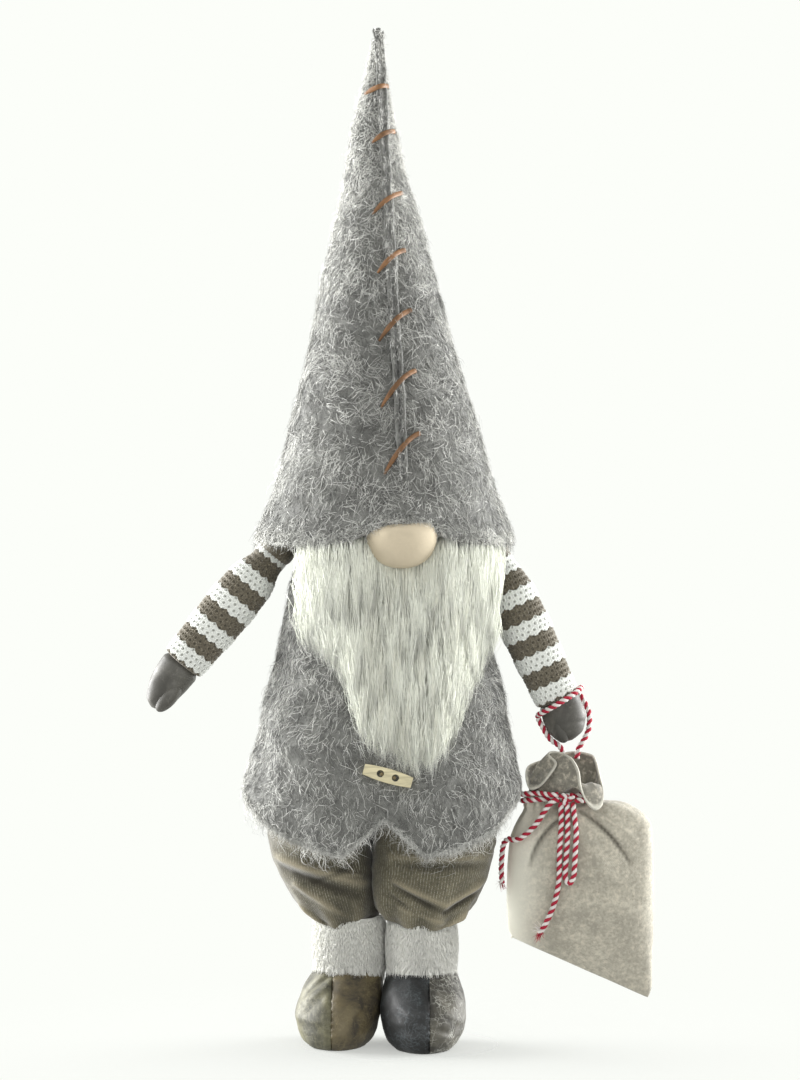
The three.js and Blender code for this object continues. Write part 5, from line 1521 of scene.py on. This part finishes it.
class GNOME_OT_trousers(bpy.types.Operator):
    """Stuff the two puffed trouser legs"""

    bl_idname = "gnome.trousers"
    bl_label = "Trousers"

    def execute(self, context):
        _, colours = settings()
        # The left leg's weave is a darker copy of the same cloth: painted shade over the whole leg
        for side, share in (("left", 0.72), ("right", 1.0)):
            surface, marks = trouser_surface(LEGS[side])
            cloth = self.cloth(f"Trouser weave {side}", darker(colours.trouser, share))
            piece = formed(f"{side}_puffed_trouser", 150, 80, surface, marks, wall=1.4)
            settle(piece, "torso", "trouser_cloth", cloth, f"{side}_trouser_leg")
        return {"FINISHED"}

    def cloth(self, name, thread):
        """Fine striped weave, mottled; painted highlight on the folds, painted shade in their valleys and the
        legs' gap.
        """
        weave = {
            "Thread": thread, "Gap": darker(thread, 0.34),
            "Across": 700.0, "Up": 520.0, "Slub": 0.6, "Line": 0.62,
        }

        def colour(tree):
            cloth = place_group(tree, "Woven cloth", weave)
            patch = ranged(tree, noise(tree, object_place(tree), 42.0, 3, 0.6), 0.4, 0.68, 0.0, 0.6)
            mottled = blend_colour(tree, patch, cloth["Color"], darker(thread, 0.42))
            # Painted highlight: the ridges of the folds blend toward pale tan
            lit = blend_colour(tree, times(tree, painted(tree, "ridge"), 0.5), mottled, srgb(178, 168, 140))
            # Painted shade: the folds' valleys and the gap between the legs blend toward dark brown
            deep = times(tree, painted(tree, "deep"), 0.85)
            return {"Color": blend_colour(tree, deep, lit, srgb(46, 42, 32)), "Height": cloth["Height"]}

        return material(name, colour, bump=0.5, Sheen_Weight=0.35, Sheen_Roughness=0.4)


class GNOME_OT_cuffs(bpy.types.Operator):
    """Grow the short pile of the boot cuffs"""

    bl_idname = "gnome.cuffs"
    bl_label = "Fur cuffs"

    def execute(self, context):
        fur, colours = settings()
        pile = hair_cloth("Cuff pile", darker(colours.cuff, 0.94), colours.cuff, Sheen_Weight=0.4)
        backing = fibre_cloth("Cuff backing", darker(colours.cuff, 0.7), darker(colours.cuff, 0.95), bump=0.5)
        for side, leg in LEGS.items():
            surface = self.round_ankle(leg)
            base = formed(f"{side}_cuff_backing", 64, 16, surface, wall=2.5)
            settle(base, "torso", "ivory_fur", backing, f"{side}_fur_cuff")
            grown = self.grow(surface, 101 + leg["side"], fur.cuff_count, fur.cuff_fibre / MM)
            settle(hairs(f"{side}_cuff_pile", *grown), "torso", "ivory_fur", pile)
        return {"FINISHED"}

    def round_ankle(self, leg):
        x, y = leg["ankle"]
        shift, wide = leg["cuff"]

        def surface(u, v):
            radius = wide + 1.3 * np.sin(np.pi * v) - 10 * np.clip(0.1 - v, 0, 1)
            z = CUFF_LOW + v * CUFF_HEIGHT
            return x + shift + radius * np.cos(TURN * u), y + radius * np.sin(TURN * u), z

        return surface

    def grow(self, surface, seed, count, length):
        """Pile that leans down and gathers in tufts along the cuff's lower edge."""
        rng = np.random.default_rng(seed)
        u, v = rng.random(count), rng.random(count) ** 1.4
        here, around, up, out = frame_at(surface, u, v)
        low = ramp(v, 0.2, 0)[:, None]
        home = (np.floor(u * CUFF_TUFTS) + 0.5) / CUFF_TUFTS
        gather = ((home - u) * CUFF_TUFTS)[:, None] * 0.9 * low
        lean = unit(-up + (0.2 + 0.42 * low) * out + around * (rng.normal(0, 0.2, (count, 1)) + gather))
        reach = length * rng.uniform(0.7, 1.25, (count, 1, 1)) * (1 + 0.45 * low[:, None])
        t = np.linspace(0, 1, 3)[None, :, None]
        paths = here[:, None] + lean[:, None] * reach * t + out[:, None] * 1.1 * np.sin(np.pi * t * 0.8)
        return paths, rng.uniform(0.22, 0.36, count), rng.random(count)


class GNOME_OT_boots(bpy.types.Operator):
    """Sew the four leather panels of the boots and round off their soles"""

    bl_idname = "gnome.boots"
    bl_label = "Boots"

    def execute(self, context):
        finishes = {}
        for name, (base, shade, worn, wear, cracks, bump) in LEATHERS.items():
            tones = [srgb(*tone) for tone in (base, shade, worn)]
            finishes[name] = leather(f"{name.title()} leather", *tones, wear, cracks, bump=bump)
        sole_tones = srgb(62, 61, 58), srgb(44, 43, 41), srgb(96, 94, 88)
        rubber = leather("Sole rubber", *sole_tones, 0.2, 0.0, bump=0.2)
        for side, leg in LEGS.items():
            for which, finish, right_half in BOOT_PANELS[side]:
                surface = boot_surface(leg, right_half)
                panel = formed(f"{side}_boot_{which}_leather", 64, 52, surface, wall=2, weld=False)
                settle(panel, "torso", f"{finish}_leather", finishes[finish], f"{side}_boot_{which}_panel")
            settle(self.sole(side, leg), "torso", "sole_rubber", rubber, f"{side}_boot_sole")
        return {"FINISHED"}

    def sole(self, side, leg):
        """A flat sole with a rounded edge, under the middle of the boot."""
        half = [size * MM for size in SOLE_HALF]
        place = (leg["boot"] * MM, (leg["ankle"][1] - BOOT_FORWARD) * MM, half[2])
        disc = dict(vertices=64, radius=1, depth=2, location=place, scale=half)
        sole = primitive(f"{side}_rounded_sole", bpy.ops.mesh.primitive_cylinder_add, **disc)
        bpy.ops.object.transform_apply(location=True, rotation=True, scale=True)
        apply_modifier(sole, "BEVEL", width=SOLE_EDGE * MM, segments=3, limit_method="ANGLE")
        smooth_by_angle()
        return sole


# Sack
def sack_slice(row, angle, inset):
    """A point of a slice of the sack, which is square with round corners and may lean."""
    _, left_x, left_z, right_x, right_z, half = row
    across, through = np.cos(angle), np.sin(angle)
    stretch = (np.abs(across) ** SACK_SQUARE + np.abs(through) ** SACK_SQUARE) ** (-1 / SACK_SQUARE)
    way = 0.5 + across * stretch * (0.5 - inset / (right_x - left_x))
    x = left_x + way * (right_x - left_x)
    z = left_z + way * (right_z - left_z)
    return x, SACK_Y + np.maximum(half - inset, 0.6) * through * stretch, z


def sack_surface(u, v):
    angle = TURN * u
    neck_share = NECK_ROW[0]
    x, y, z = sack_slice([column(SACK_ROWS, v, index, 0.03) for index in range(6)], angle, 0)
    gather = hill(v, neck_share, 0.1) + 0.9 * (v > neck_share)
    fold = 0.9 * gather * np.sin(13 * angle + 2 * np.sin(3 * angle))
    dip = sum(depth * crease(x, z, start, end, width, bow) for start, end, width, depth, bow in SACK_CREASES)
    side = np.abs(np.sin(angle)) ** 0.4
    lumps = 0.9 * ripple(x, z, 0 * x, 34, 111) * side * np.sign(np.sin(angle))
    y = y + (np.sin(angle) < 0) * dip * side + fold * np.sin(angle) + lumps
    return x + fold * np.cos(angle), y, z


def frill_surface(u, v):
    """The gathered cloth above the twine, whose edge wanders in folds and opens forwards on the right."""
    edge, _ = spline([*FRILL_EDGE, FRILL_EDGE[0]], FRILL_POINTS)
    around = np.linspace(0, 1, FRILL_POINTS)
    rim_x, rim_y, rim_z = (np.interp(u, around, edge[:, axis]) for axis in range(3))
    angle = TURN * u
    neck, wide, deep = FRILL_NECK
    pleat = 1 + 0.12 * np.sin(15 * angle) * (1 - v) ** 2
    neck_x, neck_y = neck + wide * pleat * np.cos(angle), SACK_Y + deep * pleat * np.sin(angle)
    puff = np.sin(np.pi * v)
    over_twine = 10 * ramp(rim_z, 176, 162)
    x = neck_x * (1 - v) + rim_x * v + 4.5 * puff * np.cos(angle)
    y = neck_y * (1 - v) + rim_y * v + 3.5 * puff * np.sin(angle)
    z = FRILL_FOOT * (1 - v) + rim_z * v + (2.5 + over_twine) * puff
    roll = ramp(v, 0.86, 1) ** 2
    return x + 1.2 * roll * np.cos(angle), y + 1.2 * roll * np.sin(angle), z - 0.8 * roll


class GNOME_OT_sack(bpy.types.Operator):
    """Fill the linen sack and gather its frill"""

    bl_idname = "gnome.sack"
    bl_label = "Sack"

    def execute(self, context):
        _, colours = settings()
        linen = self.linen("Linen", colours.linen, 1500.0, 900.0)
        frill_linen = self.linen("Frill linen", darker(colours.linen, 0.48), 700.0, 240.0)
        bag = formed("linen_sack", 150, 124, sack_surface, self.marks, wall=1.2)
        settle(bag, "sack", "linen", linen, "sack_cloth")
        frill = formed("linen_frill", 200, 40, frill_surface, self.frill_marks, wall=1.3)
        settle(frill, "sack", "linen", frill_linen)
        return {"FINISHED"}

    def marks(self, u, v):
        """Painted shade in the deep creases, and painted light toward the sack's left side."""
        x, _, z = sack_surface(u, v)
        # Painted shade along the two deep creases, and painted light growing toward the sack's left side
        deep = sum(crease(x, z, start, end, 1.3, bow) for start, end, _, _, bow in SACK_CREASES[:SACK_DEEP])
        return {"deep": np.clip(deep, 0, 1) * (np.sin(TURN * u) < 0), "worn": ramp(x, 103, 78) ** 1.4}

    def frill_marks(self, u, v):
        # The frill is paler along its top edge
        return {"worn": np.clip((v - 0.93) / 0.06, 0, 0.5)}

    def linen(self, name, thread, across, up):
        """Slubbed linen with pale flecks, painted light on the sack's left side, a paler frill edge, painted
        shade in creases.
        """
        weave = {"Thread": thread, "Gap": darker(thread, 0.5), "Across": across, "Up": up, "Slub": 0.8}

        def colour(tree):
            cloth = place_group(tree, "Woven cloth", weave)
            where = object_place(tree)
            patch = ranged(tree, noise(tree, where, 44.0, 4, 0.7), 0.38, 0.66, 0.0, 0.75)
            mottled = blend_colour(tree, patch, cloth["Color"], darker(thread, 0.5))
            speck = ranged(tree, noise(tree, where, 260.0, 3, 0.7), 0.5, 0.68, 0.0, 0.5)
            flecked = blend_colour(tree, speck, mottled, srgb(214, 206, 186))
            # Painted light: the sack's left side blends toward near white, and the frill's top edge pales the
            # same way
            lit = blend_colour(tree, painted(tree, "worn"), flecked, srgb(238, 236, 220))
            # Painted shade: the deep creases blend toward dark brown
            deep = times(tree, painted(tree, "deep"), 0.85)
            return {"Color": blend_colour(tree, deep, lit, srgb(64, 60, 50)), "Height": cloth["Height"]}

        return material(name, colour, bump=0.4, distance=0.3, Sheen_Weight=0.3, Sheen_Roughness=0.5)


class GNOME_OT_inside(bpy.types.Operator):
    """Fill the inside with wadding and the pellet bags"""

    bl_idname = "gnome.inside"
    bl_label = "Inside"

    def execute(self, context):
        wadding = fibre_cloth("Wadding", srgb(206, 204, 196), srgb(242, 241, 236), 120.0, 500.0, bump=0.6)
        canvas_tones = srgb(150, 146, 132), srgb(196, 192, 178)
        canvas = fibre_cloth("Pellet bag canvas", *canvas_tones, 200.0, 900.0, bump=0.4)
        for node in INNER_SOFT:
            piece = from_node(f"{node}_wadding", node, 4, 3)
            apply_modifier(piece, "DISPLACE", strength=-3.5 * MM, mid_level=0)
            slot, finish = ("pellets", canvas) if node.endswith("weight") else ("stuffing", wadding)
            settle(piece, self.body(node), slot, finish, node)
        return {"FINISHED"}

    def body(self, node):
        """The body that an inner piece belongs to."""
        if node == "sack_filling":
            return "sack"
        return node.replace("_stuffing", "") if node.endswith("arm_stuffing") else "torso"


class GNOME_PT_panel(bpy.types.Panel):
    """Buttons that build the gnome, piece by piece"""

    bl_idname = "GNOME_PT_panel"
    bl_label = "Christmas gnome"
    bl_space_type = "VIEW_3D"
    bl_region_type = "UI"
    bl_category = "Gnome"

    def draw(self, context):
        layout = self.layout
        for operator in OPERATORS:
            layout.operator(operator.bl_idname)
        for values in settings():
            for name in values.bl_rna.properties.keys():
                if name not in ("rna_type", "name"):
                    layout.prop(values, name)


OPERATORS = [
    GNOME_OT_stage, GNOME_OT_twine, GNOME_OT_hat, GNOME_OT_laces, GNOME_OT_nose, GNOME_OT_beard,
    GNOME_OT_coat, GNOME_OT_toggle, GNOME_OT_sleeves, GNOME_OT_mittens, GNOME_OT_trousers, GNOME_OT_cuffs,
    GNOME_OT_boots, GNOME_OT_sack, GNOME_OT_inside,
]
CLASSES = [GnomeFurSettings, GnomeColourSettings, *OPERATORS, GNOME_PT_panel]


def register():
    for kind in CLASSES:
        bpy.utils.register_class(kind)
    bpy.types.Scene.gnome_fur = bpy.props.PointerProperty(type=GnomeFurSettings)
    bpy.types.Scene.gnome_colours = bpy.props.PointerProperty(type=GnomeColourSettings)


def unregister():
    del bpy.types.Scene.gnome_fur
    del bpy.types.Scene.gnome_colours
    for kind in reversed(CLASSES):
        bpy.utils.unregister_class(kind)


def main():
    register()
    for build in (fibre_tones_group, weave_group, leather_group, build_felt):
        build()
    for operator in OPERATORS:
        getattr(bpy.ops.gnome, operator.bl_idname.split(".")[1])()


if __name__ == "__main__":
    main()
